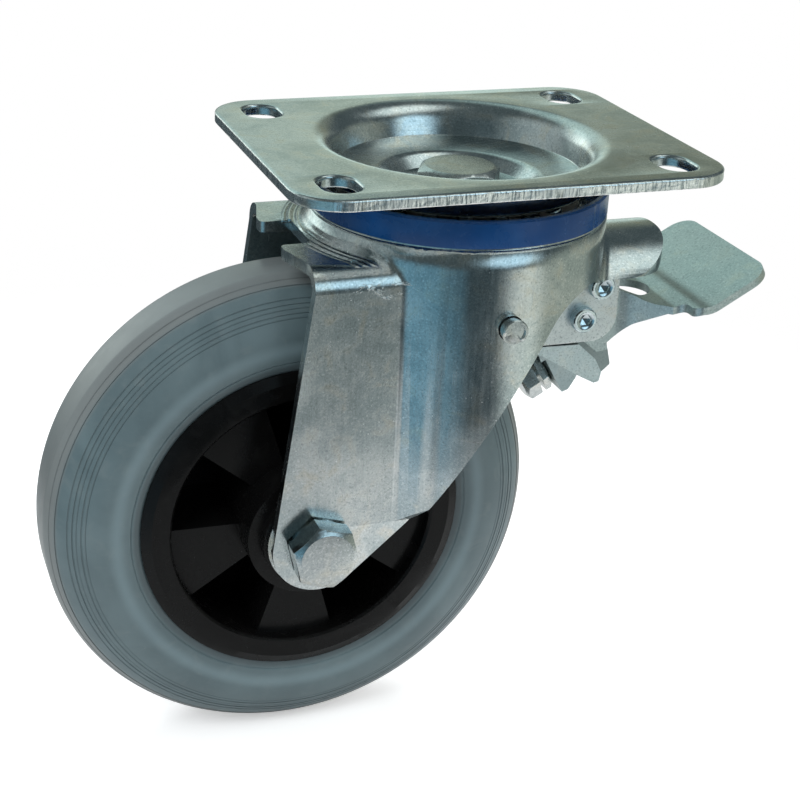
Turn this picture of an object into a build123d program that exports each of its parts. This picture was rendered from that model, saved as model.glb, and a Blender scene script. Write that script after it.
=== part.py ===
from build123d import *
import os
from math import cos, radians, sin, sqrt, tan

# A swivel castor with a top plate, a double ball race, a pressed steel fork, a wheel on rollers
# and a foot brake. Millimetres. The origin is the centre of the plate's top face, on the swivel
# axis. +Z is up, +X points to the brake pedal and the wheel trails towards -X.

# Top plate
PLATE_LENGTH = 135.0
PLATE_WIDTH = 110.0
PLATE_CORNER = 15.0
PLATE_SHEET = 3.5
PLATE_EDGE_ROUND = 0.7
BOLT_SPACING_X = 105.0
BOLT_SPACING_Y = 80.0
BOLT_SLOT_WIDTH = 11.5
BOLT_SLOT_LENGTH = 16.5

# Dish pressed into the plate: radii and depths of its upper surface
DISH_MOUTH_R = 42.6
DISH_FLOOR_R = 39.6
DISH_DEPTH = 10.0
DISH_FLOOR_FALL = 2.0
DISH_RECESS_R = 26.5
DISH_RECESS_FLOOR_R = 22.5
DISH_RECESS_DEPTH = 4.0
DISH_MOUTH_BEND = 5.5
DISH_BEND = 2.2

# King bolt
KING_BOLT_D = 16.0
KING_HEAD_ACROSS_FLATS = 24.0
KING_HEAD_HEIGHT = 7.0
KING_NUT_HEIGHT = 6.0
KING_BOLT_STICKOUT = 0.2
KING_HOLE_CLEARANCE = 0.1

# Ball race
UPPER_BALL_D = 6.0
UPPER_BALL_PITCH_R = 34.0
UPPER_BALLS = 20
LOWER_BALL_D = 5.0
LOWER_BALL_PITCH_R = 24.0
LOWER_BALLS = 14
RACE_PLAY = 0.03
CAGE_SHEET = 1.6
CAGE_MARGIN = 1.2
CAGE_POCKET_PLAY = 0.15
LOWER_RACE_SHEET = 2.6
LOWER_RACE_RIM = 4.0
LOWER_RACE_HUB_WALL = 4.5
LOWER_RACE_HUB_GAP = 2.5
DUST_RING_HEIGHT = 8.2
DUST_RING_WALL = 2.2
DUST_RING_ROUND = 0.6
DUST_RING_LIP = 1.4
DUST_RING_LIP_WIDTH = 4.2

# Fork
CROWN_R = 47.0
FORK_SHEET = 3.5
CROWN_EDGE_ROUND = 1.6
LEG_HALF_WIDTH = 36.5
LEG_TOP_BEND = 7.0
FOOT_BLEND = 4.5
REAR_PLATE_DROP = 6.6
REAR_RIDGE_R = 52.8
REAR_RIDGE_SECTION_R = 1.0
REAR_RIDGE_HEIGHT = 0.4
REAR_EDGE_X = -51.0
TAB_REACH = 60.8
TAB_NOTCH_HALF = 11.0
TAB_TIP_HALF = 15.5
TAB_ROOT_HALF = 28.0
TAB_CORNER = 1.8
TAB_ROOT_BEND = 8.0
LEG_REAR_TOP_X = -57.4
LEG_TIP_R = 15.0
AXLE_DROP = 96.7
TRAIL = 54.1
LEG_FRONT_LOW_X = -23.6
LEG_FRONT_LOW_DROP = 90.0
LEG_FRONT_HIGH_X = 20.5
CROWN_SKIRT_DROP = 18.1
LEG_FRONT_BEND = 20.0
LEG_TOE_ANGLE = 45.0
LEG_TOE_BEND = 30.0
BULGE_FOOT_DROP = 91.0
BULGE_FOOT_ANGLE = 45.0
SKIRT_TURN_X = 33.0
HOOD_R = 28.7
HOOD_HALF_WIDTH = 22.2
HOOD_AXIS_DROP = 40.7
HOOD_LOW_DROP = 22.5
HOOD_ROOT_X = 40.5
HOOD_END_X = 70.0
HOOD_CORNER = 18.0
HOOD_BLEND = 4.5

# Wheel
WHEEL_R = 80.0
TYRE_HALF_WIDTH = 19.2
TREAD_HALF_WIDTH = 6.0
TYRE_SEAT_R = 49.5
TYRE_KEY_HEIGHT = 3.0
TYRE_KEY_HALF = 4.0
RIM_EDGE_R = 52.1
RIM_EDGE_HALF = 18.2
RIM_FACE_HALF = 20.5
RIM_FACE_R = 49.0
RIM_INNER_R = 42.7
RIM_BARREL_WALL = 4.0
RIM_FACE_CHAMFER = 0.8
RIM_BARREL_TAPER = 3.0
PADDLE_COUNT = 5
PADDLE_ANGLE = 34.0
PADDLE_TURN = 123.9
PADDLE_HALF = 16.0
RIB_WALL = 2.6
HUB_R = 20.5
COLLAR_R = 16.5
COLLAR_STEP = 3.6

# Wheel bearing and axle
AXLE_TUBE_D = 20.0
AXLE_BOLT_D = 12.0
AXLE_BOLT_PLAY = 0.1
ROLLER_D = 4.0
ROLLER_COUNT = 10
ROLLER_LENGTH = 40.0
ROLLER_PLAY = 0.03
ROLLER_CAGE_WALL = 1.4
ROLLER_CAGE_END = 3.0
THRUST_WASHER_R = 15.5
THRUST_WASHER = 1.1
THRUST_GAP = 0.3
AXLE_ACROSS_FLATS = 19.0
AXLE_HEAD_HEIGHT = 7.5
AXLE_WASHER_FACE = 1.0
AXLE_WASHER_FACE_R = 9.3
AXLE_NUT_HEIGHT = 10.5
AXLE_NUT_WASHER_R = 12.0
AXLE_NUT_WASHER = 2.0
AXLE_STICKOUT = 2.0
AXLE_HEAD_TURN = 17.0
HEX_CHAMFER = 1.1
HEX_CHAMFER_ANGLE = 30.0

# Brake pivot
PIVOT_DROP = 25.0
PIVOT_PIN_D = 8.0
PIVOT_PLAY = 0.05
PIVOT_STICKOUT = 4.0
PIVOT_CHAMFER = 0.7
SPACER_WALL = 2.0
SPACER_GAP = 0.3

# Brake lever. Its outlines are measured from the pivot as (forward, up).
PEDAL_SHEET = 2.6
PEDAL_FLANGE_HALF = 10.5
PEDAL_FLARE_X = 58.2
PEDAL_FLARE_BEND = 12.0
PEDAL_NECK_X = 70.0
PEDAL_NECK_HALF = 20.5
PEDAL_PAD_X = 74.0
PEDAL_PAD_HALF = 28.3
PEDAL_PAD_CORNER = 7.5
PEDAL_PAD_ROOT_BEND = 3.0
PEDAL_END = 100.5
PEDAL_END_UP = 2.7
PEDAL_HOLE_X = 61.5
PEDAL_HOLE_LENGTH = 19.0
PEDAL_HOLE_WIDTH = 16.5
PEDAL_LINE = ((25.0, 4.5), (64.0, -11.0), (71.0, -11.0), (76.0, -8.8), (80.0, -8.8))
PEDAL_BENDS = (12.0, 6.0, 6.0, 9.0)
PIVOT_BOSS_R = 7.0
FLANGE_OUTLINE = ((0.0, 6.8), (30.0, 3.5), (46.0, -2.6), (62.5, -9.2), (71.0, -10.6), (69.0, -12.2),
                  (60.0, -18.0), (52.3, -24.4), (52.8, -26.9), (48.9, -27.4), (42.2, -22.0), (22.0, -22.0))
CHEEK_SHEET = 3.0
CHEEK_OUTLINE = ((0.0, 6.8), (34.0, 2.4), (53.3, 1.6), (53.3, -22.0), (26.0, -22.0))
CHEEK_CORNERS = (8.5, 3.0)
SCREW_D = 5.0
SCREW_HEAD_D = 8.5
SCREW_HEAD_HEIGHT = 3.2
SCREW_HEAD_ROUND = 0.5
SCREW_SOCKET_ACROSS_FLATS = 4.0
SCREW_SOCKET_DEPTH = 2.2
SCREW_DEPTHS = (5.6, 12.0)
SCREW_POINTS = ((45.9, -2.4), (40.5, -13.3))

# Brake shoe, a casting between the lever's flanges, and its adjusting screw
SHOE_BODY = ((24.0, -2.0), (47.0, -11.0), (51.5, -20.0), (54.3, -28.0), (55.7, -33.5), (52.7, -36.1),
             (44.0, -36.0), (36.0, -30.0), (27.0, -21.0), (22.0, -8.0))
CLAW_ONE = ((22.0, -22.3), (40.8, -22.9), (47.2, -28.7), (49.9, -33.6), (49.3, -36.9), (47.4, -37.3),
            (40.8, -33.7), (27.6, -25.6), (22.0, -24.0))
CLAW_ONE_HALF = 13.2
CLAW_TWO = ((27.0, -24.0), (29.6, -31.0), (34.3, -40.4), (36.4, -41.3), (39.8, -40.0), (42.1, -36.2),
            (44.0, -31.0))
CLAW_TWO_HALF = 10.2
CLAW_ROUND = 0.8
ADJUSTER_POINT = (31.2, -37.4)
ADJUSTER_ANGLE = 30.0
ADJUSTER_D = 8.0
ADJUSTER_ACROSS_FLATS = 13.0
ADJUSTER_HEAD = 5.3
ADJUSTER_NUT = 3.2
ADJUSTER_NUT_GAP = 1.3
ADJUSTER_DEPTH = 12.0
ADJUSTER_BOSS_R = 6.5
ADJUSTER_BOSS_LENGTH = 8.0

# Heights that follow from the sizes above
FLOOR_SLOPE = DISH_FLOOR_FALL / (DISH_FLOOR_R - DISH_RECESS_R)
FLOOR_COS = 1 / sqrt(1 + FLOOR_SLOPE**2)
RACE_TOP_Z = -DISH_DEPTH - FLOOR_SLOPE * (DISH_FLOOR_R - UPPER_BALL_PITCH_R) - PLATE_SHEET / FLOOR_COS
UPPER_BALL_Z = RACE_TOP_Z - (UPPER_BALL_D / 2 + RACE_PLAY) / FLOOR_COS
CROWN_Z = UPPER_BALL_Z - UPPER_BALL_D / 2 - RACE_PLAY
CROWN_UNDER_Z = CROWN_Z - FORK_SHEET
LOWER_BALL_Z = CROWN_UNDER_Z - LOWER_BALL_D / 2 - RACE_PLAY
LOWER_RACE_Z = LOWER_BALL_Z - LOWER_BALL_D / 2 - RACE_PLAY
LOWER_RACE_UNDER_Z = LOWER_RACE_Z - LOWER_RACE_SHEET
RECESS_Z = -DISH_DEPTH - DISH_FLOOR_FALL - DISH_RECESS_DEPTH
RECESS_UNDER_Z = RECESS_Z - PLATE_SHEET
KING_BOLT_R = KING_BOLT_D / 2
KING_HOLE_R = KING_BOLT_R + KING_HOLE_CLEARANCE
KING_NUT_Z = LOWER_RACE_UNDER_Z - KING_NUT_HEIGHT
LOWER_HUB_R = KING_HOLE_R + LOWER_RACE_HUB_WALL
CROWN_HOLE_R = LOWER_HUB_R + LOWER_RACE_HUB_GAP
AXLE_Z = CROWN_Z - AXLE_DROP
AXLE_X = -TRAIL
LEG_INNER = LEG_HALF_WIDTH - FORK_SHEET
COLLAR_HALF = LEG_INNER - THRUST_WASHER - THRUST_GAP
HUB_HALF = COLLAR_HALF - COLLAR_STEP
CROWN_INNER_R = CROWN_R - FORK_SHEET
PIVOT_Z = CROWN_Z - PIVOT_DROP
PIVOT_R = PIVOT_PIN_D / 2
FLANGE_INNER = PEDAL_FLANGE_HALF - PEDAL_SHEET
CHEEK_OUTER = PEDAL_FLANGE_HALF + CHEEK_SHEET
ADJUSTER_NUT_START = ADJUSTER_NUT_GAP / 2
ADJUSTER_NUT_END = ADJUSTER_NUT_START + ADJUSTER_NUT
ADJUSTER_TIP = ADJUSTER_NUT_GAP / 2 + ADJUSTER_HEAD
HUB_BORE_R = AXLE_TUBE_D / 2 + ROLLER_D + 2 * ROLLER_PLAY
ROLLER_PITCH_R = AXLE_TUBE_D / 2 + ROLLER_PLAY + ROLLER_D / 2


def turned(points, axis=Axis.Z):
    """Solid of revolution from (radius, height) corners, about Z or about Y."""
    plane = Plane.XZ if axis == Axis.Z else Plane.XY
    return revolve(plane * make_face(Polyline(*points, close=True)), axis, 360)


def ring(outer, inner, low, high, axis=Axis.Z):
    """Ring between two radii and two heights on an axis."""
    return turned([(inner, low), (outer, low), (outer, high), (inner, high)], axis)


def rod(radius, low, high, axis=Axis.Z):
    """Plain round bar on an axis."""
    return turned([(0, low), (radius, low), (radius, high), (0, high)], axis)


def hexagon(across_flats, height):
    """Hexagon head standing on the XY plane, its top edge turned to a cone."""
    corner = across_flats / sqrt(3)
    face_r = across_flats / 2 - HEX_CHAMFER
    cone_r = corner + HEX_CHAMFER
    cone_low = height - (cone_r - face_r) * tan(radians(HEX_CHAMFER_ANGLE))
    cone = turned([(0, 0), (cone_r, 0), (cone_r, cone_low), (face_r, height), (0, height)])
    return extrude(RegularPolygon(corner, 6), height) & cone


def socket_hole(across_flats, depth):
    """Hexagon socket sunk below the XY plane."""
    return extrude(RegularPolygon(across_flats / sqrt(3), 6), -depth)


def side_plate(face, low, high):
    """Plate from a face drawn in (x, z), between two distances across the castor."""
    return Pos(0, high, 0) * extrude(Plane.XZ * face, high - low)


def turned_sheet(points, bends, thickness):
    """Pressed round sheet, from the middle line of its section."""
    return revolve(Plane.XZ * trace(FilletPolyline(*points, radius=bends), thickness), Axis.Z, 360)


def on_wheel(part):
    """Put a part modelled about the Y axis on the wheel's centre."""
    return Pos(AXLE_X, 0, AXLE_Z) * part


def on_pivot(part):
    """Put a part modelled about the brake's pivot in its place."""
    return Pos(0, 0, PIVOT_Z) * part


def top_plate():
    """Mounting plate with slotted holes and a pressed dish that forms the upper race."""
    half = PLATE_SHEET / 2
    join_r = DISH_MOUTH_R + DISH_MOUTH_BEND + 2
    sheet = extrude(RectangleRounded(PLATE_LENGTH, PLATE_WIDTH, PLATE_CORNER), -PLATE_SHEET)
    sheet = fillet(sheet.edges().group_by(Axis.Z)[-1], PLATE_EDGE_ROUND)
    sheet -= rod(join_r, -PLATE_SHEET, 0)
    dish = turned_sheet(
        [
            (join_r, -half),
            (DISH_MOUTH_R, -half),
            (DISH_FLOOR_R, -DISH_DEPTH - half),
            (DISH_RECESS_R, -DISH_DEPTH - DISH_FLOOR_FALL - half),
            (DISH_RECESS_FLOOR_R, RECESS_Z - half),
            (KING_HOLE_R, RECESS_Z - half),
        ],
        [DISH_MOUTH_BEND, DISH_BEND, DISH_BEND, DISH_BEND],
        PLATE_SHEET,
    )
    slot = Rot(Z=90) * SlotOverall(BOLT_SLOT_LENGTH, BOLT_SLOT_WIDTH)
    slots = [
        Pos(x, y) * slot
        for x in (-BOLT_SPACING_X / 2, BOLT_SPACING_X / 2)
        for y in (-BOLT_SPACING_Y / 2, BOLT_SPACING_Y / 2)
    ]
    return sheet + dish - extrude(Sketch() + slots, -PLATE_SHEET)


def king_bolt():
    """Hexagon bolt that holds the ball race together."""
    head = Pos(0, 0, RECESS_Z) * hexagon(KING_HEAD_ACROSS_FLATS, KING_HEAD_HEIGHT)
    return head + rod(KING_BOLT_R, KING_NUT_Z - KING_BOLT_STICKOUT, RECESS_Z)


def king_nut():
    """Thin hexagon nut under the lower race."""
    nut = Rot(X=180) * hexagon(KING_HEAD_ACROSS_FLATS, KING_NUT_HEIGHT)
    return Pos(0, 0, LOWER_RACE_UNDER_Z) * nut - rod(KING_BOLT_R, KING_NUT_Z, LOWER_RACE_UNDER_Z)


def lower_race():
    """Turned race under the crown, with a hub that stands against the plate's recess."""
    rim_r = LOWER_BALL_PITCH_R + LOWER_RACE_RIM
    return turned(
        [
            (KING_HOLE_R, LOWER_RACE_UNDER_Z),
            (rim_r, LOWER_RACE_UNDER_Z),
            (rim_r, LOWER_RACE_Z),
            (LOWER_HUB_R, LOWER_RACE_Z),
            (LOWER_HUB_R, RECESS_UNDER_Z),
            (KING_HOLE_R, RECESS_UNDER_Z),
        ]
    )


def ball_set(count, diameter, pitch_r, height):
    """Balls evenly spaced round the swivel axis."""
    return Compound([loc * Sphere(diameter / 2) for loc in around(count, pitch_r, height)])


def around(count, pitch_r, height=0.0):
    """Evenly spaced places round the Z axis."""
    return [Rot(Z=360 * i / count) * Pos(pitch_r, 0, height) for i in range(count)]


def ball_cage(count, diameter, pitch_r, height):
    """Flat cage ring with a round pocket for each ball."""
    reach = diameter / 2 + CAGE_MARGIN
    cage = ring(pitch_r + reach, pitch_r - reach, height - CAGE_SHEET / 2, height + CAGE_SHEET / 2)
    pocket = rod(diameter / 2 + CAGE_POCKET_PLAY, -CAGE_SHEET, CAGE_SHEET)
    return cage - [loc * pocket for loc in around(count, pitch_r, height)]


def dust_ring():
    """Plastic ring that closes the race between the crown and the plate."""
    inner = CROWN_R - DUST_RING_WALL
    top = CROWN_Z + DUST_RING_HEIGHT
    body = ring(CROWN_R, inner, CROWN_Z, top)
    body = fillet(body.edges().group_by(Axis.Z)[-1], DUST_RING_ROUND)
    return body + ring(inner, inner - DUST_RING_LIP_WIDTH, CROWN_Z, CROWN_Z + DUST_RING_LIP)


def leg_block(offset, low):
    """Block behind the swivel axis: the rear plate and both legs, with the bends between them."""
    half_width = LEG_HALF_WIDTH - offset
    rear_top = CROWN_Z - REAR_PLATE_DROP - offset
    block = Pos(0, 0, low) * Box(2 * TAB_REACH, 2 * half_width, rear_top - low,
                                 align=(Align.MAX, Align.CENTER, Align.MIN))
    bends = block.edges().filter_by(Axis.X).group_by(Axis.Z)[-1]
    return fillet(bends, LEG_TOP_BEND - offset)


def bulge_foot(offset, low):
    """What is cut below the crown's bulge, where it slopes back to the flat leg."""
    half_width = LEG_HALF_WIDTH - offset
    foot_z = CROWN_Z - BULGE_FOOT_DROP + offset * tan(radians(BULGE_FOOT_ANGLE / 2))
    rise = (CROWN_R - half_width) * tan(radians(BULGE_FOOT_ANGLE))
    slope = make_face(Polyline((half_width, low), (half_width, foot_z), (CROWN_R, foot_z + rise),
                               (CROWN_R, low), close=True))
    slope += mirror(slope, Plane.YZ)
    return extrude(Plane.YZ * slope, CROWN_R, both=True)


def fork_mass(offset, low):
    """The fork as one block: its outside, or its inside with the sheet's thickness as offset."""
    radius = CROWN_R - offset
    top = CROWN_Z - offset

    def at_foot(edge):
        middle = edge.position_at(0.5)
        on_wall = abs(sqrt(middle.X**2 + middle.Y**2) - radius) < 0.01
        return on_wall and middle.X < -1 and low + 1 < middle.Z < top - 1

    mass = leg_block(offset, low) + Rot(Z=90) * rod(radius, low, top)
    mass = fillet(mass.edges().filter_by(at_foot), FOOT_BLEND)
    mass = fillet(mass.edges().group_by(Axis.Z)[-1], CROWN_EDGE_ROUND)
    return mass - bulge_foot(offset, low)


def rear_ridge():
    """Low ridge pressed round the crown's foot on the rear plate."""
    height = CROWN_Z - REAR_PLATE_DROP + REAR_RIDGE_HEIGHT - REAR_RIDGE_SECTION_R
    reach = LEG_HALF_WIDTH - LEG_TOP_BEND
    behind = Box(2 * CROWN_R, 2 * reach, CROWN_R, align=(Align.MAX, Align.CENTER, Align.CENTER))
    return Pos(0, 0, height) * (Torus(REAR_RIDGE_R, REAR_RIDGE_SECTION_R) & behind)


def side_outline():
    """Side view of the fork, cut through both legs."""
    heel = (AXLE_X - LEG_TIP_R, AXLE_Z)
    toe_angle = radians(-LEG_TOE_ANGLE)
    toe = (AXLE_X + LEG_TIP_R * cos(toe_angle), AXLE_Z + LEG_TIP_R * sin(toe_angle))
    bottom = (AXLE_X, AXLE_Z - LEG_TIP_R)
    low_front = (LEG_FRONT_LOW_X, CROWN_Z - LEG_FRONT_LOW_DROP)
    skirt_z = CROWN_Z - CROWN_SKIRT_DROP
    hood_z = CROWN_Z - HOOD_LOW_DROP
    end_x = HOOD_END_X + FORK_SHEET
    front = FilletPolyline(toe, low_front, (LEG_FRONT_HIGH_X, skirt_z), (SKIRT_TURN_X, skirt_z),
                           (HOOD_ROOT_X, hood_z), (end_x, hood_z),
                           radius=[LEG_TOE_BEND, LEG_FRONT_BEND, FORK_SHEET, FORK_SHEET])
    top_z = CROWN_Z + FORK_SHEET
    bend_z = CROWN_Z - REAR_PLATE_DROP - LEG_TOP_BEND
    rest = Polyline((end_x, hood_z), (end_x, top_z), (-TAB_REACH, top_z), (-TAB_REACH, bend_z),
                    (LEG_REAR_TOP_X, bend_z), heel)
    return make_face([front, rest, ThreePointArc(heel, bottom, toe)])


def tab_cut():
    """What is cut away behind the rear plate: the notch, and the slope from each tab to its leg."""
    back = -TAB_REACH - FORK_SHEET
    cut = make_face(
        Polyline((REAR_EDGE_X, 0), (REAR_EDGE_X, TAB_NOTCH_HALF), (-TAB_REACH, TAB_NOTCH_HALF),
                 (-TAB_REACH, TAB_TIP_HALF), (LEG_REAR_TOP_X, TAB_ROOT_HALF), (LEG_REAR_TOP_X, CROWN_R),
                 (back, CROWN_R), (back, 0), close=True)
    )
    tip = cut.vertices().filter_by(lambda v: abs(v.X + TAB_REACH) < 0.01)
    cut = fillet(tip, TAB_CORNER)
    root = cut.vertices().filter_by(lambda v: abs(v.Y - TAB_ROOT_HALF) < 0.01)
    cut = fillet(root, TAB_ROOT_BEND)
    cut += mirror(cut, Plane.XZ)
    bend_z = CROWN_Z - REAR_PLATE_DROP - LEG_TOP_BEND
    return Pos(0, 0, bend_z) * extrude(cut, LEG_TOP_BEND + FORK_SHEET)


def hood_mass(offset, low):
    """The arched nose over the brake lever as one block, down to a height."""
    radius = HOOD_R - offset
    axis_z = CROWN_Z - HOOD_AXIS_DROP
    arch = Circle(radius) + Rectangle(2 * radius, axis_z - low, align=(Align.CENTER, Align.MAX))
    return Pos(0, 0, axis_z) * extrude(Plane.YZ * arch, HOOD_END_X)


def hood_root(mass):
    """Edges where the hood meets the crown's wall."""
    def at_root(edge):
        middle = edge.position_at(0.5)
        on_wall = abs(sqrt(middle.X**2 + middle.Y**2) - CROWN_R) < 0.01
        on_side = abs(abs(middle.Y) - HOOD_R) < 0.01
        on_arch = abs(sqrt(middle.Y**2 + (middle.Z - CROWN_Z + HOOD_AXIS_DROP)**2) - HOOD_R) < 0.01
        return on_wall and middle.X > 0 and (on_side or on_arch)
    return mass.edges().filter_by(at_root)


def fork_plan():
    """The fork seen from above, with the hood's rounded end."""
    nose = RectangleRounded(HOOD_END_X, 2 * HOOD_HALF_WIDTH, HOOD_CORNER, align=(Align.MAX, Align.CENTER))
    rear_x = HOOD_END_X - HOOD_CORNER
    rest = Rectangle(rear_x + 2 * TAB_REACH, 3 * CROWN_R, align=(Align.MAX, Align.CENTER))
    return Pos(HOOD_END_X) * nose + Pos(rear_x) * rest


def fork():
    """Pressed fork: crown, two legs, rear tabs and the hood, all of one sheet."""
    low = AXLE_Z - LEG_TIP_R - FORK_SHEET
    outside = fork_mass(0, low) + hood_mass(0, low)
    outside = fillet(hood_root(outside), HOOD_BLEND) + rear_ridge()
    shell = outside - fork_mass(FORK_SHEET, low) - hood_mass(FORK_SHEET, low)
    shell &= Pos(0, CROWN_R, 0) * extrude(Plane.XZ * side_outline(), 2 * CROWN_R)
    shell &= extrude(fork_plan(), 2 * AXLE_Z)
    shell -= tab_cut()
    shell -= rod(CROWN_HOLE_R, CROWN_UNDER_Z - FORK_SHEET, CROWN_Z + FORK_SHEET)
    shell -= on_wheel(rod(AXLE_BOLT_D / 2 + AXLE_BOLT_PLAY, -CROWN_R, CROWN_R, Axis.Y))
    shell -= on_pivot(rod(PIVOT_R, -CROWN_R, CROWN_R, Axis.Y))
    return shell


def tyre_outline():
    """Section of the tyre as (radius, distance from its middle)."""
    shoulder = Spline(
        (WHEEL_R, TREAD_HALF_WIDTH),
        (WHEEL_R - 4.2, TREAD_HALF_WIDTH + 5.2),
        (WHEEL_R - 11.5, TYRE_HALF_WIDTH - 1.9),
        (WHEEL_R - 19.0, TYRE_HALF_WIDTH),
        (RIM_EDGE_R, RIM_EDGE_HALF),
        tangents=((-0.35, 1.0), (-1.0, -0.25)),
    )
    tread = Line((WHEEL_R, -TREAD_HALF_WIDTH), (WHEEL_R, TREAD_HALF_WIDTH))
    other = mirror(shoulder, Plane.XZ)
    seat = Polyline(
        (RIM_EDGE_R, RIM_EDGE_HALF),
        (TYRE_SEAT_R, RIM_EDGE_HALF - (RIM_EDGE_R - TYRE_SEAT_R)),
        (TYRE_SEAT_R, TYRE_KEY_HALF),
        (TYRE_SEAT_R + TYRE_KEY_HEIGHT, TYRE_KEY_HALF),
        (TYRE_SEAT_R + TYRE_KEY_HEIGHT, -TYRE_KEY_HALF),
        (TYRE_SEAT_R, -TYRE_KEY_HALF),
        (TYRE_SEAT_R, -RIM_EDGE_HALF + (RIM_EDGE_R - TYRE_SEAT_R)),
        (RIM_EDGE_R, -RIM_EDGE_HALF),
    )
    return make_face([tread, shoulder, seat, other])


def tyre():
    """Solid rubber tyre, keyed on the rim."""
    return on_wheel(revolve(tyre_outline(), Axis.Y, 360))


def sector(inner, outer, centre, width):
    """Part of a ring in the wheel's side view, between two radial lines."""
    start = radians(centre - width / 2)
    middle = radians(centre)
    end = radians(centre + width / 2)
    spots = [(r * cos(a), r * sin(a)) for r in (inner, outer) for a in (start, middle, end)]
    return make_face([
        Line(spots[0], spots[3]),
        ThreePointArc(spots[3], spots[4], spots[5]),
        Line(spots[5], spots[2]),
        ThreePointArc(spots[2], spots[1], spots[0]),
    ])


def rim_barrel():
    """Outer ring of the rim, with a proud face each side and the key of the tyre."""
    edge = RIM_EDGE_HALF - (RIM_EDGE_R - TYRE_SEAT_R)
    half = [
        (TYRE_SEAT_R + TYRE_KEY_HEIGHT, TYRE_KEY_HALF),
        (TYRE_SEAT_R, TYRE_KEY_HALF),
        (TYRE_SEAT_R, edge),
        (RIM_EDGE_R, RIM_EDGE_HALF),
        (RIM_EDGE_R, RIM_EDGE_HALF + RIM_FACE_CHAMFER),
        (RIM_FACE_R, RIM_FACE_HALF),
        (RIM_INNER_R + RIM_FACE_CHAMFER, RIM_FACE_HALF),
        (RIM_INNER_R, RIM_FACE_HALF - RIM_FACE_CHAMFER),
        (RIM_INNER_R, PADDLE_HALF),
        (TYRE_SEAT_R - RIM_BARREL_WALL, PADDLE_HALF - RIM_BARREL_TAPER),
    ]
    return turned(half + [(r, -y) for r, y in half[::-1]], Axis.Y)


def rim_web():
    """Web between hub and barrel, folded to and fro into paddles with pockets between."""
    outer = TYRE_SEAT_R - RIM_BARREL_WALL / 2
    web = ring(outer, COLLAR_R, -PADDLE_HALF, PADDLE_HALF, Axis.Y)
    pitch = 360 / PADDLE_COUNT
    pocket_depth = 2 * PADDLE_HALF - RIB_WALL
    for i in range(PADDLE_COUNT):
        paddle = PADDLE_TURN + i * pitch
        front = sector(HUB_R, RIM_INNER_R, paddle + pitch / 2, pitch - PADDLE_ANGLE)
        back = sector(HUB_R, RIM_INNER_R, paddle, PADDLE_ANGLE)
        back = offset(back, -RIB_WALL, kind=Kind.INTERSECTION)
        web -= side_plate(front, -PADDLE_HALF, -PADDLE_HALF + pocket_depth)
        web -= side_plate(back, PADDLE_HALF - pocket_depth, PADDLE_HALF)
    return web


def rim():
    """Moulded rim with its hub, paddles and barrel."""
    hub = turned(
        [
            (HUB_BORE_R, -COLLAR_HALF),
            (COLLAR_R, -COLLAR_HALF),
            (COLLAR_R, -HUB_HALF),
            (HUB_R, -HUB_HALF),
            (HUB_R, HUB_HALF),
            (COLLAR_R, HUB_HALF),
            (COLLAR_R, COLLAR_HALF),
            (HUB_BORE_R, COLLAR_HALF),
        ],
        Axis.Y,
    )
    return on_wheel(rim_barrel() + rim_web() + hub)


def axle_tube():
    """Steel tube that the legs clamp and the rollers run on."""
    return on_wheel(ring(AXLE_TUBE_D / 2, AXLE_BOLT_D / 2 + AXLE_BOLT_PLAY, -LEG_INNER, LEG_INNER, Axis.Y))


def thrust_washer(side):
    """Washer on the tube between a leg and the hub."""
    low, high = sorted((side * (LEG_INNER - THRUST_WASHER), side * LEG_INNER))
    return on_wheel(ring(THRUST_WASHER_R, AXLE_TUBE_D / 2, low, high, Axis.Y))


def axle_bolt():
    """Hexagon bolt through both legs, its head on the near side."""
    head = Rot(Y=AXLE_HEAD_TURN) * Rot(X=90) * hexagon(AXLE_ACROSS_FLATS, AXLE_HEAD_HEIGHT)
    head = Pos(0, -LEG_HALF_WIDTH - AXLE_WASHER_FACE, 0) * head
    face = rod(AXLE_WASHER_FACE_R, -LEG_HALF_WIDTH - AXLE_WASHER_FACE, -LEG_HALF_WIDTH, Axis.Y)
    end = LEG_HALF_WIDTH + AXLE_NUT_WASHER + AXLE_NUT_HEIGHT + AXLE_STICKOUT
    shank = rod(AXLE_BOLT_D / 2, -LEG_HALF_WIDTH - AXLE_WASHER_FACE, end, Axis.Y)
    return on_wheel(head + face + shank)


def axle_nut():
    """Hexagon nut on the far end of the axle bolt."""
    start = LEG_HALF_WIDTH + AXLE_NUT_WASHER
    nut = Pos(0, start, 0) * Rot(X=-90) * hexagon(AXLE_ACROSS_FLATS, AXLE_NUT_HEIGHT)
    return on_wheel(nut - rod(AXLE_BOLT_D / 2, start, start + AXLE_NUT_HEIGHT, Axis.Y))


def axle_nut_washer():
    """Flat washer under the axle nut."""
    outer_face = LEG_HALF_WIDTH + AXLE_NUT_WASHER
    return on_wheel(ring(AXLE_NUT_WASHER_R, AXLE_BOLT_D / 2, LEG_HALF_WIDTH, outer_face, Axis.Y))


def rollers():
    """Bearing rollers between the axle tube and the hub's bore."""
    bar = Cylinder(ROLLER_D / 2, ROLLER_LENGTH)
    return on_wheel(Rot(X=90) * Compound([loc * bar for loc in around(ROLLER_COUNT, ROLLER_PITCH_R)]))


def roller_cage():
    """Sleeve with a window for each roller."""
    half = ROLLER_LENGTH / 2 + ROLLER_CAGE_END
    wall = ROLLER_CAGE_WALL / 2
    sleeve = ring(ROLLER_PITCH_R + wall, ROLLER_PITCH_R - wall, -half, half)
    window = Box(ROLLER_D, ROLLER_D + 2 * CAGE_POCKET_PLAY, ROLLER_LENGTH + 2 * CAGE_POCKET_PLAY)
    windows = [loc * window for loc in around(ROLLER_COUNT, ROLLER_PITCH_R)]
    return on_wheel(Rot(X=90) * (sleeve - windows))


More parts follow.
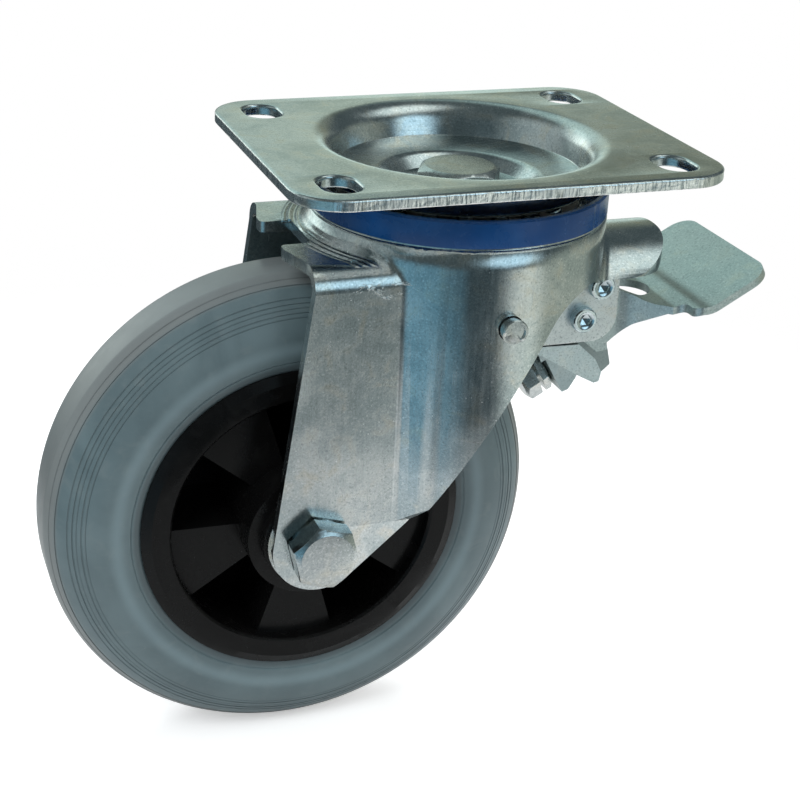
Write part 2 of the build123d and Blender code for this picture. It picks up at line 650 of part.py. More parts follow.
def pivot_pin():
    """Pin across the fork that carries the brake lever."""
    end = CROWN_R + PIVOT_STICKOUT
    pin = rod(PIVOT_R, -end, end, Axis.Y)
    return on_pivot(chamfer(pin.edges().filter_by(GeomType.CIRCLE), PIVOT_CHAMFER))


def pivot_spacer(side):
    """Tube on the pin between a cheek plate and the fork's wall."""
    outer_r = PIVOT_R + PIVOT_PLAY + SPACER_WALL
    reach = sqrt(CROWN_INNER_R**2 - outer_r**2) - PIVOT_PLAY
    low, high = sorted((side * (CHEEK_OUTER + SPACER_GAP), side * reach))
    return on_pivot(ring(outer_r, PIVOT_R, low, high, Axis.Y))


def lever_bore():
    """Hole for the pivot pin through the parts of the lever."""
    return rod(PIVOT_R + PIVOT_PLAY, -CROWN_R, CROWN_R, Axis.Y)


def screw_holes():
    """Holes for the cheek screws, from both sides and as deep as the screws."""
    holes = []
    for (x, z), depth in zip(SCREW_POINTS, SCREW_DEPTHS):
        end = CHEEK_OUTER - depth
        holes += [Pos(x, 0, z) * rod(SCREW_D / 2, *reach, Axis.Y)
                  for reach in ((end, CROWN_R), (-CROWN_R, -end))]
    return holes


def pedal_plan():
    """Lever seen from above: narrow between the cheek plates, flared, then as wide as the pad."""
    half = [
        (-2 * PIVOT_BOSS_R, PEDAL_FLANGE_HALF),
        (PEDAL_FLARE_X, PEDAL_FLANGE_HALF),
        (PEDAL_NECK_X, PEDAL_NECK_HALF),
        (PEDAL_PAD_X, PEDAL_NECK_HALF),
        (PEDAL_PAD_X, PEDAL_PAD_HALF),
        (PEDAL_END + PEDAL_SHEET, PEDAL_PAD_HALF),
    ]
    plan = make_face(Polyline(*half, *[(x, -y) for x, y in half[::-1]], close=True))
    flare = plan.vertices().filter_by(lambda v: abs(v.X - PEDAL_FLARE_X) < 0.01)
    plan = fillet(flare, PEDAL_FLARE_BEND)
    root = plan.vertices().filter_by(lambda v: abs(v.X - PEDAL_PAD_X) < 0.01)
    return fillet(root, PEDAL_PAD_ROOT_BEND)


def brake_pedal():
    """Pressed lever: a web between two flanges, bent up into the foot pad."""
    line = list(PEDAL_LINE) + [(PEDAL_END, PEDAL_END_UP)]
    web = trace(FilletPolyline(*line, radius=list(PEDAL_BENDS)), PEDAL_SHEET)
    web = side_plate(web, -PEDAL_PAD_HALF, PEDAL_PAD_HALF)
    plan = pedal_plan()
    hole = Pos(PEDAL_HOLE_X) * SlotOverall(PEDAL_HOLE_LENGTH, PEDAL_HOLE_WIDTH)
    web &= extrude(plan - hole, PEDAL_END, both=True)
    tip = web.edges().filter_by(lambda e: e.length < 1.01 * PEDAL_SHEET).sort_by(Axis.X)[-2:]
    web = fillet(tip, PEDAL_PAD_CORNER)
    band = plan - offset(plan, -PEDAL_SHEET, kind=Kind.INTERSECTION)
    face = make_face(Polyline(*FLANGE_OUTLINE, close=True)) + Circle(PIVOT_BOSS_R)
    flanges = extrude(band, PEDAL_END, both=True) & side_plate(face, -PEDAL_PAD_HALF, PEDAL_PAD_HALF)
    return on_pivot(web + flanges - lever_bore() - screw_holes())


def cheek_plate(side):
    """Flat plate screwed to the outside of a flange."""
    face = make_face(Polyline(*CHEEK_OUTLINE, close=True))
    lower, upper = face.vertices().sort_by(Axis.X)[-2:].sort_by(Axis.Y)
    face = fillet(lower, CHEEK_CORNERS[0])
    upper = face.vertices().sort_by(Axis.Y)[-3:].sort_by(Axis.X)[-1]
    face = fillet(upper, CHEEK_CORNERS[1]) + Circle(PIVOT_BOSS_R)
    low, high = sorted((side * PEDAL_FLANGE_HALF, side * CHEEK_OUTER))
    return on_pivot(side_plate(face, low, high) - lever_bore() - screw_holes())


def cheek_screw(side, index):
    """Socket cap screw that holds a cheek plate and the shoe."""
    head = rod(SCREW_HEAD_D / 2, 0, SCREW_HEAD_HEIGHT)
    head = fillet(head.edges().group_by(Axis.Z)[-1], SCREW_HEAD_ROUND)
    head -= Pos(0, 0, SCREW_HEAD_HEIGHT) * socket_hole(SCREW_SOCKET_ACROSS_FLATS, SCREW_SOCKET_DEPTH)
    screw = head + rod(SCREW_D / 2, -SCREW_DEPTHS[index], 0)
    x, z = SCREW_POINTS[index]
    return on_pivot(Pos(x, side * CHEEK_OUTER, z) * Rot(X=-90 * side) * screw)


def adjuster_frame():
    """Frame on the adjuster's axis, between its head and its nut, with Z into the shoe."""
    angle = radians(ADJUSTER_ANGLE)
    x, z = ADJUSTER_POINT
    return Plane(origin=(x, 0, PIVOT_Z + z), x_dir=(0, 1, 0), z_dir=(cos(angle), 0, sin(angle)))


def brake_shoe():
    """Casting with two claws a side and a boss for the adjusting screw."""
    body, claw_one, claw_two = [
        fillet(make_face(Polyline(*outline, close=True)).vertices(), CLAW_ROUND)
        for outline in (SHOE_BODY, CLAW_ONE, CLAW_TWO)
    ]
    shoe = side_plate(body, -FLANGE_INNER, FLANGE_INNER)
    shoe += side_plate(claw_one, -CLAW_ONE_HALF, CLAW_ONE_HALF)
    shoe += side_plate(claw_two, -CLAW_TWO_HALF, CLAW_TWO_HALF)
    shoe = on_pivot(shoe - screw_holes())
    frame = adjuster_frame()
    shoe -= frame * rod(2 * ADJUSTER_BOSS_R, -ADJUSTER_TIP - ADJUSTER_BOSS_LENGTH, ADJUSTER_NUT_END)
    shoe += frame * rod(ADJUSTER_BOSS_R, ADJUSTER_NUT_END, ADJUSTER_NUT_END + ADJUSTER_BOSS_LENGTH)
    return shoe - frame * rod(ADJUSTER_D / 2, 0, ADJUSTER_NUT_END + ADJUSTER_DEPTH)


def adjuster_screw():
    """Hexagon screw whose head bears on the tread."""
    head = Rot(X=180) * hexagon(ADJUSTER_ACROSS_FLATS, ADJUSTER_HEAD)
    head = Pos(0, 0, -ADJUSTER_NUT_GAP / 2) * head
    shank = rod(ADJUSTER_D / 2, -ADJUSTER_NUT_GAP / 2, ADJUSTER_NUT_END + ADJUSTER_DEPTH)
    return adjuster_frame() * (head + shank)


def adjuster_nut():
    """Lock nut between the screw's head and the shoe."""
    nut = Pos(0, 0, ADJUSTER_NUT_START) * hexagon(ADJUSTER_ACROSS_FLATS, ADJUSTER_NUT)
    return adjuster_frame() * (nut - rod(ADJUSTER_D / 2, ADJUSTER_NUT_START, ADJUSTER_NUT_END))


PARTS = {
    "top_plate": top_plate(),
    "king_bolt": king_bolt(),
    "king_nut": king_nut(),
    "lower_race": lower_race(),
    "upper_balls": ball_set(UPPER_BALLS, UPPER_BALL_D, UPPER_BALL_PITCH_R, UPPER_BALL_Z),
    "upper_ball_cage": ball_cage(UPPER_BALLS, UPPER_BALL_D, UPPER_BALL_PITCH_R, UPPER_BALL_Z),
    "lower_balls": ball_set(LOWER_BALLS, LOWER_BALL_D, LOWER_BALL_PITCH_R, LOWER_BALL_Z),
    "lower_ball_cage": ball_cage(LOWER_BALLS, LOWER_BALL_D, LOWER_BALL_PITCH_R, LOWER_BALL_Z),
    "fork": fork(),
    "dust_ring": dust_ring(),
    "axle_bolt": axle_bolt(),
    "axle_nut": axle_nut(),
    "axle_nut_washer": axle_nut_washer(),
    "axle_tube": axle_tube(),
    "thrust_washer_near": thrust_washer(-1),
    "thrust_washer_far": thrust_washer(1),
    "pivot_pin": pivot_pin(),
    "pivot_spacer_near": pivot_spacer(-1),
    "pivot_spacer_far": pivot_spacer(1),
    "tyre": tyre(),
    "rim": rim(),
    "rollers": rollers(),
    "roller_cage": roller_cage(),
    "brake_pedal": brake_pedal(),
    "cheek_plate_near": cheek_plate(-1),
    "cheek_plate_far": cheek_plate(1),
    "cheek_screw_near_upper": cheek_screw(-1, 0),
    "cheek_screw_near_lower": cheek_screw(-1, 1),
    "cheek_screw_far_upper": cheek_screw(1, 0),
    "cheek_screw_far_lower": cheek_screw(1, 1),
    "brake_shoe": brake_shoe(),
    "adjuster_screw": adjuster_screw(),
    "adjuster_nut": adjuster_nut(),
}

os.makedirs("parts", exist_ok=True)
for name, part in PARTS.items():
    export_step(part, f"parts/{name}.step")
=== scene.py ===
"""Dresses the swivel castor: bright zinc steel, a grey rubber tyre, a black rim and a blue ring."""
import logging
from collections.abc import Iterable, Sequence
from dataclasses import dataclass
from enum import Enum
from math import atan2, cos, pi, radians, sin, tau

import bmesh
import bpy
from bpy.types import ID, Material, Mesh, Node, NodeSocket, NodeTree, Object
from mathutils import Matrix, Vector, noise
from mathutils.geometry import interpolate_bezier, tessellate_polygon


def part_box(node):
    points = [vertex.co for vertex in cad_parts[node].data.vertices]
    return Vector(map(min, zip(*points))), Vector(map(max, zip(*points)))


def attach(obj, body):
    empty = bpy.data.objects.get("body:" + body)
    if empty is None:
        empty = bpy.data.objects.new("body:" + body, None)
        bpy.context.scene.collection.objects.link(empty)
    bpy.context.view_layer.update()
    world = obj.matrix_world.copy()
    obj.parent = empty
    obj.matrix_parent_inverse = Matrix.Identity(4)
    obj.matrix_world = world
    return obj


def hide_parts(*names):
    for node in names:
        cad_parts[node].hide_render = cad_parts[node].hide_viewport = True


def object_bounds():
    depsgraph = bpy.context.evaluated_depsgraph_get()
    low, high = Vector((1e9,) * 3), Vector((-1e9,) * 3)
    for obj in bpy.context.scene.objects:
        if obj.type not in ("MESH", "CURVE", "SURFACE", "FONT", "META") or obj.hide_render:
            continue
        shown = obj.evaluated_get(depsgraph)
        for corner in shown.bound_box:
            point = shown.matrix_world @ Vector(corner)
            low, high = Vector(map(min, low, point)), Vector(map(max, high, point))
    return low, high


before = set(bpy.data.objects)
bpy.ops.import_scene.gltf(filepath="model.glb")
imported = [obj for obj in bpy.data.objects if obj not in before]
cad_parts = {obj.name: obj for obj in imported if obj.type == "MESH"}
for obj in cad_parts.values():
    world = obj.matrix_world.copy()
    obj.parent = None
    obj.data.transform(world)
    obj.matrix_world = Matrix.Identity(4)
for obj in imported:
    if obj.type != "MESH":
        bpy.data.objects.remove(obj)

CAD_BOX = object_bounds()
LOG = logging.getLogger("castor")
MM = 0.001

Colour = tuple[float, float, float]
Point = tuple[float, float]
Place = tuple[float, float, float]
Layer = tuple[float, ...]  # numbers of a noise or a fade, in the order of the method that takes them

WELD = 1e-7  # metres within which two points are one
SOLID_WELD = 2e-6  # the same in a copy of a solid
FLAT = radians(0.4)  # bend between two faces that counts as none


# Shader maths

def add_node(tree: NodeTree, kind: str, inputs: dict | None = None, **settings: object) -> Node:
    """Add a node to a tree.

    Args:
        tree: The node tree.
        kind: The node's type.
        inputs: Value, signal or socket for each input, by name or number.
        settings: Properties that are set before the inputs.

    Returns:
        The new node.
    """
    made = tree.nodes.new(kind)
    for key, value in settings.items():
        setattr(made, key, value)
    for key, value in (inputs or {}).items():
        socket = made.inputs[key]
        if isinstance(value, Signal):
            value = value.socket
        if isinstance(value, NodeSocket):
            tree.links.new(value, socket)
        elif socket.type == "RGBA" and len(value) == 3:
            socket.default_value = (*value, 1.0)
        else:
            socket.default_value = value
    return made


class Graph:
    """The node tree of one material or world."""

    def __init__(self, tree: NodeTree) -> None:
        """Start an empty tree."""
        self.tree = tree
        tree.nodes.clear()

    def node(self, kind: str, inputs: dict | None = None, **settings: object) -> Node:
        """Add a node, whose type is given without the ShaderNode prefix."""
        return add_node(self.tree, "ShaderNode" + kind, inputs, **settings)

    def signal(self, kind: str, inputs: dict | None = None, output: int | str = 0,
               **settings: object) -> "Signal":
        """Add a node and give back one of its outputs."""
        return Signal(self, self.node(kind, inputs, **settings).outputs[output])

    def place(self, scale: Sequence[float] = (1.0, 1.0, 1.0)) -> "Signal":
        """Object coordinates, stretched along each axis."""
        here = self.signal("TexCoord", output="Object")
        return self.signal("Mapping", {"Vector": here, "Scale": scale}, "Vector")

    def noise(self, where: "Signal", scale: float, detail: float, rough: float = 0.5,
              warp: float = 0.0) -> "Signal":
        """Soft noise from 0 to 1, by features in each metre, octaves, their weight and distortion."""
        return self.signal("TexNoise", {"Vector": where, "Scale": scale, "Detail": detail,
                                        "Roughness": rough, "Distortion": warp}, "Fac")

    def specks(self, where: "Signal", scale: float, size: float) -> "Signal":
        """Mask of round specks, by cells in each metre and a speck's share of its cell."""
        far = self.signal("TexVoronoi", {"Vector": where, "Scale": scale}, "Distance")
        return far.step(size, size * 0.5)

    def split(self, where: "Signal") -> tuple["Signal", ...]:
        """The three parts of a vector."""
        return tuple(Signal(self, part) for part in self.node("SeparateXYZ", {"Vector": where}).outputs)

    def mix(self, share: object, first: object, second: object, blend: str = "MIX") -> "Signal":
        """Blend of two colours, by the share of the second from 0 to 1."""
        return self.signal("Mix", {0: share, 6: first, 7: second}, 2, data_type="RGBA", blend_type=blend)

    def bump(self, height: "Signal", depth: float, normal: "Signal | None" = None) -> "Signal":
        """Normal of a surface with a relief from 0 to 1 that is depth metres high, over the normal below."""
        below = {} if normal is None else {"Normal": normal}
        return self.signal("Bump", {"Distance": depth, "Height": height, **below}, "Normal")

    def radius(self, across: "Signal", along: "Signal") -> "Signal":
        """Distance from an axis, by the two parts that lie across it."""
        return (across ** 2.0 + along ** 2.0).math("SQRT")


class Signal:
    """A shader value that can be added, multiplied and compared."""

    def __init__(self, graph: Graph, socket: NodeSocket) -> None:
        """Wrap an output socket."""
        self.graph = graph
        self.socket = socket

    def math(self, operation: str, *others: object) -> "Signal":
        """Result of a Math node on this value and others."""
        return self.graph.signal("Math", dict(enumerate((self, *others))), operation=operation)

    def __add__(self, other: object) -> "Signal":
        """Sum."""
        return self.math("ADD", other)

    def __mul__(self, other: object) -> "Signal":
        """Product."""
        return self.math("MULTIPLY", other)

    def __sub__(self, other: object) -> "Signal":
        """Difference."""
        return self.math("SUBTRACT", other)

    def __pow__(self, other: float) -> "Signal":
        """Power."""
        return self.math("POWER", other)

    def step(self, low: float, high: float) -> "Signal":
        """Smooth step from 0 at low to 1 at high."""
        return self.graph.signal("MapRange", {"Value": self, "From Min": low, "From Max": high},
                                 "Result", interpolation_type="SMOOTHSTEP")

    def near(self, middle: float, full: float, none: float) -> "Signal":
        """1 as far as full from the middle, falling to 0 as far as none."""
        return (self - middle).math("ABSOLUTE").step(none, full)

    def span(self, low: float, high: float) -> "Signal":
        """This 0 to 1 value spread from low to high."""
        return self * (high - low) + low


# Finishes

@dataclass
class Coat:
    """A finish while its marks are laid on."""

    graph: Graph
    here: Signal
    colour: Signal
    rough: Signal

    def paint(self, share: object, colour: object) -> None:
        """Cover a share of the surface with another colour."""
        self.colour = self.graph.mix(share, self.colour, colour)

    def close(self, metallic: float, relief: Signal, shine: float = 0.5) -> None:
        """End the material's graph with its surface.

        Args:
            metallic: 1 for metal, or 0.
            relief: Normal of the surface.
            shine: Specular level.
        """
        shader = self.graph.node("BsdfPrincipled", {
            "Base Color": self.colour, "Metallic": metallic, "Roughness": self.rough, "Normal": relief,
            "Specular IOR Level": shine})
        self.graph.node("OutputMaterial", {"Surface": shader.outputs[0]})


def fresh_material(name: str) -> tuple[Material, Graph]:
    """Start a material.

    Args:
        name: Its name.

    Returns:
        The material and its empty graph.
    """
    material = bpy.data.materials.new(name)
    material.use_nodes = True
    return material, Graph(material.node_tree)


class Axis(Enum):
    """Direction of the drawing marks on pressed steel."""

    X = (0.06, 1.0, 1.0)
    Z = (1.0, 1.0, 0.06)
    NONE = (1.0, 1.0, 1.0)


@dataclass(frozen=True)
class Zinc:
    """Zinc plated steel."""

    name: str
    bright: Colour = (0.70, 0.735, 0.725)
    dull: Colour = (0.47, 0.53, 0.535)
    warm: Colour = (0.62, 0.585, 0.49)
    pit: Colour = (0.22, 0.26, 0.27)
    dark: Colour = (0.24, 0.28, 0.29)
    glint: Colour = (0.95, 0.97, 0.97)
    cloud: Layer = (34.0, 4.0, 0.6, 0.4)
    patch: Layer = (105.0, 3.0, 0.6, 0.8)
    streak: Layer = (900.0, 3.0, 0.6)
    grain: Layer = (2300.0, 3.0, 0.65)
    fine: Layer = (1500.0, 2.0, 0.7)
    pit_specks: Layer = (700.0, 0.22)
    pit_areas: Layer = (80.0, 2.0)
    spark_specks: Layer = (520.0, 0.15)
    spark_areas: Layer = (55.0, 1.0)
    smooth: float = 0.16
    rough: float = 0.36
    marks: Axis = Axis.NONE
    mark_depth: float = 5e-6
    grain_depth: float = 1e-5
    touch_depth: float = 0.3 * MM
    speck_share: float = 0.6
    sparkle: float = 0.5
    stain_share: float = 0.35

    def build(self) -> Material:
        """Make the material.

        Returns:
            The material.
        """
        material, g = fresh_material(self.name)
        here = g.place()
        cloud = g.noise(here, *self.cloud)
        patch = g.noise(here, *self.patch)
        streak = g.noise(g.place(self.marks.value), *self.streak)
        grain = g.noise(here, *self.grain)
        fine = g.noise(here, *self.fine)
        pits = g.specks(here, *self.pit_specks) * g.noise(here, *self.pit_areas).step(0.45, 0.6)
        sparks = g.specks(here, *self.spark_specks) * g.noise(here, *self.spark_areas).step(0.5, 0.62)
        rough = (cloud * 0.6 + streak * 0.4).step(0.3, 0.7).span(self.smooth, self.rough)
        tone = (cloud * 0.6 + patch * 0.4).step(0.38, 0.60)
        coat = Coat(g, here, g.mix(tone, self.dull, self.bright), rough)
        coat.paint(patch.step(0.50, 0.72) * 0.6, self.warm)
        coat.paint(streak.step(0.52, 0.8) * 0.4, self.dull)
        coat.paint(cloud.near(0.5, 0.002, 0.016) * self.stain_share, self.dull)
        coat.paint(pits * 0.5, self.pit)
        coat.paint(sparks * self.speck_share, self.glint)
        coat.paint(fine.step(0.54, 0.72) * self.sparkle, self.glint)
        coat.paint(fine.step(0.46, 0.30) * self.sparkle, self.dark)
        height = self.touch(coat)
        coat.rough = coat.rough + sparks * 0.1
        relief = g.bump(grain, self.grain_depth, g.bump(streak, self.mark_depth))
        coat.close(1.0, g.bump(height, self.touch_depth, relief))
        return material

    def touch(self, coat: Coat) -> Signal:
        """Lay on the marks of one pressing and give back its relief, which plain zinc has little of."""
        return coat.graph.noise(coat.here, 400.0, 2.0) * 0.02


@dataclass(frozen=True)
class PlateZinc(Zinc):
    """Zinc of the mounting plate, whose edge is sheared and hammered."""

    half_x: float = 67.5 * MM
    half_y: float = 55.0 * MM
    edge_drop: Point = (-0.1 * MM, -0.5 * MM)
    edge_reach: Point = (-2.2 * MM, -0.6 * MM)
    tears: Layer = (1150.0, 2.0, 0.6)
    dents: Layer = (420.0, 2.0, 0.6)
    torn_bright: Colour = (0.95, 0.97, 0.95)
    torn_dark: Colour = (0.35, 0.39, 0.39)
    # colour, middle, reach and noise of a darker patch beside one slot
    dark_patch: Colour = (0.25, 0.29, 0.29)
    dark_patch_place: Point = (36.0 * MM, -33.0 * MM)
    dark_patch_reach: Point = (21.0 * MM, 6.0 * MM)
    dark_patch_layer: Layer = (70.0, 3.0)

    def touch(self, coat: Coat) -> Signal:
        """Lay on the brighter torn band round the edge, and a darker patch beside one slot.

        Args:
            coat: The finish so far.

        Returns:
            Relief from 0 to 1.
        """
        g = coat.graph
        x, y, z = g.split(coat.here)
        rim = (x.math("ABSOLUTE") - self.half_x).math("MAXIMUM", y.math("ABSOLUTE") - self.half_y)
        band = rim.step(*self.edge_reach) * z.step(*self.edge_drop)
        torn = g.noise(g.place((1.0, 1.0, 0.12)), *self.tears)
        dents = g.noise(coat.here, *self.dents)
        coat.paint(band * torn.step(0.34, 0.52), self.torn_bright)
        coat.paint(band * torn.step(0.42, 0.34) * 0.5, self.torn_dark)
        # a darker patch beside one slot, fading out from its middle
        away = g.radius(x - self.dark_patch_place[0], (y - self.dark_patch_place[1]) * 1.4)
        shade = away.step(*self.dark_patch_reach) * g.noise(coat.here, *self.dark_patch_layer).step(0.35, 0.6)
        coat.paint(shade * 0.55, self.dark_patch)
        coat.rough = coat.rough + band * 0.06
        return band * (torn * 0.4 + dents * 0.6)


@dataclass(frozen=True)
class ForkZinc(Zinc):
    """Zinc of the fork, with ridges round the crown's foot and tool marks under the bend."""

    ridge_low: float = 49.6 * MM
    ridge_high: float = 55.6 * MM
    ridge_fade: float = 0.6 * MM
    ridge_pitch: float = 2.1 * MM
    plate_z: float = -27.5 * MM
    plate_fade: float = 0.5 * MM
    mark_z: Layer = (-34.5 * MM, 0.8 * MM, 3.2 * MM)
    mark_y: Layer = (-36.5 * MM, 0.4 * MM, 1.2 * MM)
    mark_start: Point = (-52.0 * MM, -50.0 * MM)
    mark_end: Point = (-24.0 * MM, -28.0 * MM)
    ragged: Layer = (150.0, 4.0, 0.7, 0.6)
    wall: Layer = (47.0 * MM, 0.3 * MM, 1.5 * MM)
    crown_low: float = -27.5 * MM
    crown_roll: float = 5.4 * MM
    roll_depth: float = -5.0
    scuff: Colour = (0.93, 0.95, 0.92)

    def touch(self, coat: Coat) -> Signal:
        """Lay on pressed ridges, a soft roll along the crown's top edge and bright tool marks.

        Args:
            coat: The finish so far.

        Returns:
            Relief, from 0 to 1 but for the roll, which is deeper.
        """
        g = coat.graph
        x, y, z = g.split(coat.here)
        radius = g.radius(x, y)
        ring = radius.step(self.ridge_low, self.ridge_low + self.ridge_fade)
        ring = ring * radius.step(self.ridge_high, self.ridge_high - self.ridge_fade)
        ring = ring * z.step(self.plate_z - self.plate_fade, self.plate_z)
        wave = ((radius - self.ridge_low) * (tau / self.ridge_pitch)).math("SINE") * 0.5 + 0.5
        ragged = g.noise(g.place((1.0, 1.0, 2.2)), *self.ragged)
        marked = ragged.step(0.54, 0.58) * z.near(*self.mark_z) * y.near(*self.mark_y)
        marked = marked * x.step(*self.mark_start) * x.step(*self.mark_end)
        coat.paint(marked * 0.8, self.scuff)
        coat.rough = coat.rough + marked * 0.12
        wall = radius.near(*self.wall)
        climb = ((z - self.crown_low) * (1.0 / self.crown_roll)).math("MAXIMUM", 0.0)
        return ring * wave + marked * 0.5 + wall * climb * climb * self.roll_depth


@dataclass(frozen=True)
class CastZinc(Zinc):
    """Zinc of the brake shoe, with painted shade in the recesses between its claws."""

    # painted shade: each half-width along Y behind which the casting is darkened, with its darker colour
    painted_hollow_shades: tuple[tuple[float, Colour], ...] = (
        (13.0 * MM, (0.26, 0.33, 0.35)), (10.0 * MM, (0.20, 0.22, 0.20)))
    hollow_shade_fade: float = 1.2 * MM
    hollow_shade_share: float = 0.45

    def touch(self, coat: Coat) -> Signal:
        """Paint shade on the skin where the casting lies behind the front claws.

        Args:
            coat: The finish so far.

        Returns:
            Relief from 0 to 1.
        """
        side = coat.graph.split(coat.here)[1].math("ABSOLUTE")
        # painted shade, deeper the further the casting lies behind the front claws
        for half, colour in self.painted_hollow_shades:
            coat.paint(side.step(half, half - self.hollow_shade_fade) * self.hollow_shade_share, colour)
        return coat.graph.noise(coat.here, 260.0, 3.0) * 0.35


@dataclass(frozen=True)
class Moulded:
    """Moulded rubber or plastic."""

    name: str
    colour: Colour
    shade: Colour
    bloom: Colour
    bloom_share: float = 0.2
    cloud: Layer = (30.0, 4.0, 0.6, 0.5)
    patch: Layer = (160.0, 3.0, 0.6, 0.6)
    grain: Layer = (1900.0, 2.0, 0.6)
    specks: Layer = (260.0, 0.07)
    smooth: float = 0.35
    rough: float = 0.5
    grain_depth: float = 8e-6
    shine: float = 0.5

    def build(self) -> Material:
        """Make the material.

        Returns:
            The material.
        """
        material, g = fresh_material(self.name)
        here = g.place()
        cloud = g.noise(here, *self.cloud)
        patch = g.noise(here, *self.patch)
        rough = (cloud * 0.5 + patch * 0.5).step(0.3, 0.7).span(self.smooth, self.rough)
        coat = Coat(g, here, g.mix(cloud.step(0.35, 0.65), self.shade, self.colour), rough)
        coat.paint(patch.step(0.5, 0.75) * self.bloom_share, self.bloom)
        coat.paint(g.specks(here, *self.specks) * self.bloom_share, self.bloom)
        self.tint(coat)
        coat.close(0.0, g.bump(g.noise(here, *self.grain), self.grain_depth), self.shine)
        return material

    def tint(self, coat: Coat) -> None:
        """Lay on tones that differ from place to place, which a plain moulding has none of."""


@dataclass(frozen=True)
class TyreRubber(Moulded):
    """Rubber with painted light on the tread, a painted highlight by the bead and painted shade at the foot.
    """

    centre: Point = (-54.1 * MM, -117.2 * MM)
    tread_r: float = 77.0 * MM
    tread_fade: float = 0.8 * MM
    bead_r: float = 59.5 * MM
    bead_half: float = 3.4 * MM
    foot_r: float = 53.5 * MM
    foot_fade: float = 1.6 * MM
    # colours of the painted light on the tread, the painted highlight by the bead and the painted shade at
    # the foot
    painted_tread_light: Colour = (0.215, 0.220, 0.213)
    painted_bead_highlight: Colour = (0.22, 0.31, 0.34)
    shadow: Colour = (0.05, 0.065, 0.07)

    def tint(self, coat: Coat) -> None:
        """Lay on painted light on the tread, a painted highlight ring by the bead and painted shade at the
        foot.

        Args:
            coat: The finish so far.
        """
        x, _, z = coat.graph.split(coat.here)
        radius = coat.graph.radius(x - self.centre[0], z - self.centre[1])
        tread = radius.step(self.tread_r - self.tread_fade, self.tread_r + self.tread_fade)
        # painted light: the tread lighter
        coat.paint(tread * 0.6, self.painted_tread_light)
        # painted highlight: a pale bluish ring by the bead
        coat.paint(radius.near(self.bead_r, 0.0, self.bead_half) * 0.4, self.painted_bead_highlight)
        # painted shade: the foot darker where the tyre meets the rim
        coat.paint(radius.step(self.foot_r + self.foot_fade, self.foot_r) * 0.6, self.shadow)


class Finishes:
    """Every finish of the castor, made once."""

    def __init__(self) -> None:
        """Make the materials."""
        self.plate = PlateZinc("zinc_plate", marks=Axis.X, smooth=0.14, rough=0.30).build()
        self.fork = ForkZinc("zinc_fork", marks=Axis.Z, smooth=0.14, rough=0.30).build()
        self.lever = Zinc("zinc_lever", bright=(0.62, 0.70, 0.68), dull=(0.50, 0.58, 0.57),
                          warm=(0.60, 0.62, 0.54), smooth=0.32, rough=0.50, stain_share=0.15).build()
        self.cheek = Zinc("zinc_cheek", bright=(0.88, 0.92, 0.90), dull=(0.72, 0.76, 0.75),
                          smooth=0.34, rough=0.5, stain_share=0.2).build()
        self.bolt = Zinc("zinc_bolt", bright=(0.66, 0.69, 0.67), dull=(0.46, 0.50, 0.50),
                         smooth=0.18, rough=0.34, grain_depth=1.8e-5).build()
        self.cast = CastZinc("zinc_cast", bright=(0.72, 0.81, 0.81), dull=(0.58, 0.68, 0.69),
                             warm=(0.70, 0.74, 0.70), smooth=0.34, rough=0.48, grain_depth=3e-5,
                             speck_share=0.3, stain_share=0.1).build()
        self.screw = Zinc("zinc_screw", bright=(0.66, 0.74, 0.76), dull=(0.56, 0.64, 0.67),
                          warm=(0.66, 0.70, 0.66), smooth=0.08, rough=0.16, grain_depth=3e-6,
                          stain_share=0.0).build()
        self.race = Zinc("race_steel", smooth=0.15, rough=0.22, grain_depth=2e-6, stain_share=0.0).build()
        self.rubber = TyreRubber("grey_rubber", colour=(0.122, 0.174, 0.188), shade=(0.094, 0.137, 0.150),
                                 bloom=(0.20, 0.235, 0.235), smooth=0.28, rough=0.42).build()
        self.black = Moulded("black_plastic", colour=(0.0045, 0.0045, 0.0045), shade=(0.003, 0.003, 0.003),
                             bloom=(0.03, 0.03, 0.027), bloom_share=0.08, smooth=0.20, rough=0.34,
                             shine=0.17).build()
        self.blue = Moulded("blue_plastic", colour=(0.002, 0.058, 0.200), shade=(0.002, 0.042, 0.155),
                            bloom=(0.05, 0.14, 0.30), bloom_share=0.10, smooth=0.20, rough=0.34,
                            shine=0.34).build()
        self.cage = Moulded("cage_plastic", colour=(0.62, 0.60, 0.54), shade=(0.52, 0.50, 0.45),
                            bloom=(0.7, 0.68, 0.6)).build()


# Mesh tools

def linked(name: str, data: ID) -> Object:
    """Put an object in the scene.

    Args:
        name: Its name.
        data: What it shows.

    Returns:
        The object.
    """
    made = bpy.data.objects.new(name, data)
    bpy.context.scene.collection.objects.link(made)
    return made


def circle(radius: float, height: float, count: int, centre: Vector = Vector((0, 0, 0)),
           axis: str = "Z") -> list[Vector]:
    """Points round an axis.

    Args:
        radius: Radius of the ring.
        height: Place along the axis.
        count: Number of points.
        centre: Where the axis passes.
        axis: "Z" or "Y".

    Returns:
        The points.
    """
    ring = []
    for i in range(count):
        across, along = radius * cos(tau * i / count), radius * sin(tau * i / count)
        ring.append(centre + Vector((across, along, height) if axis == "Z" else (across, height, along)))
    return ring


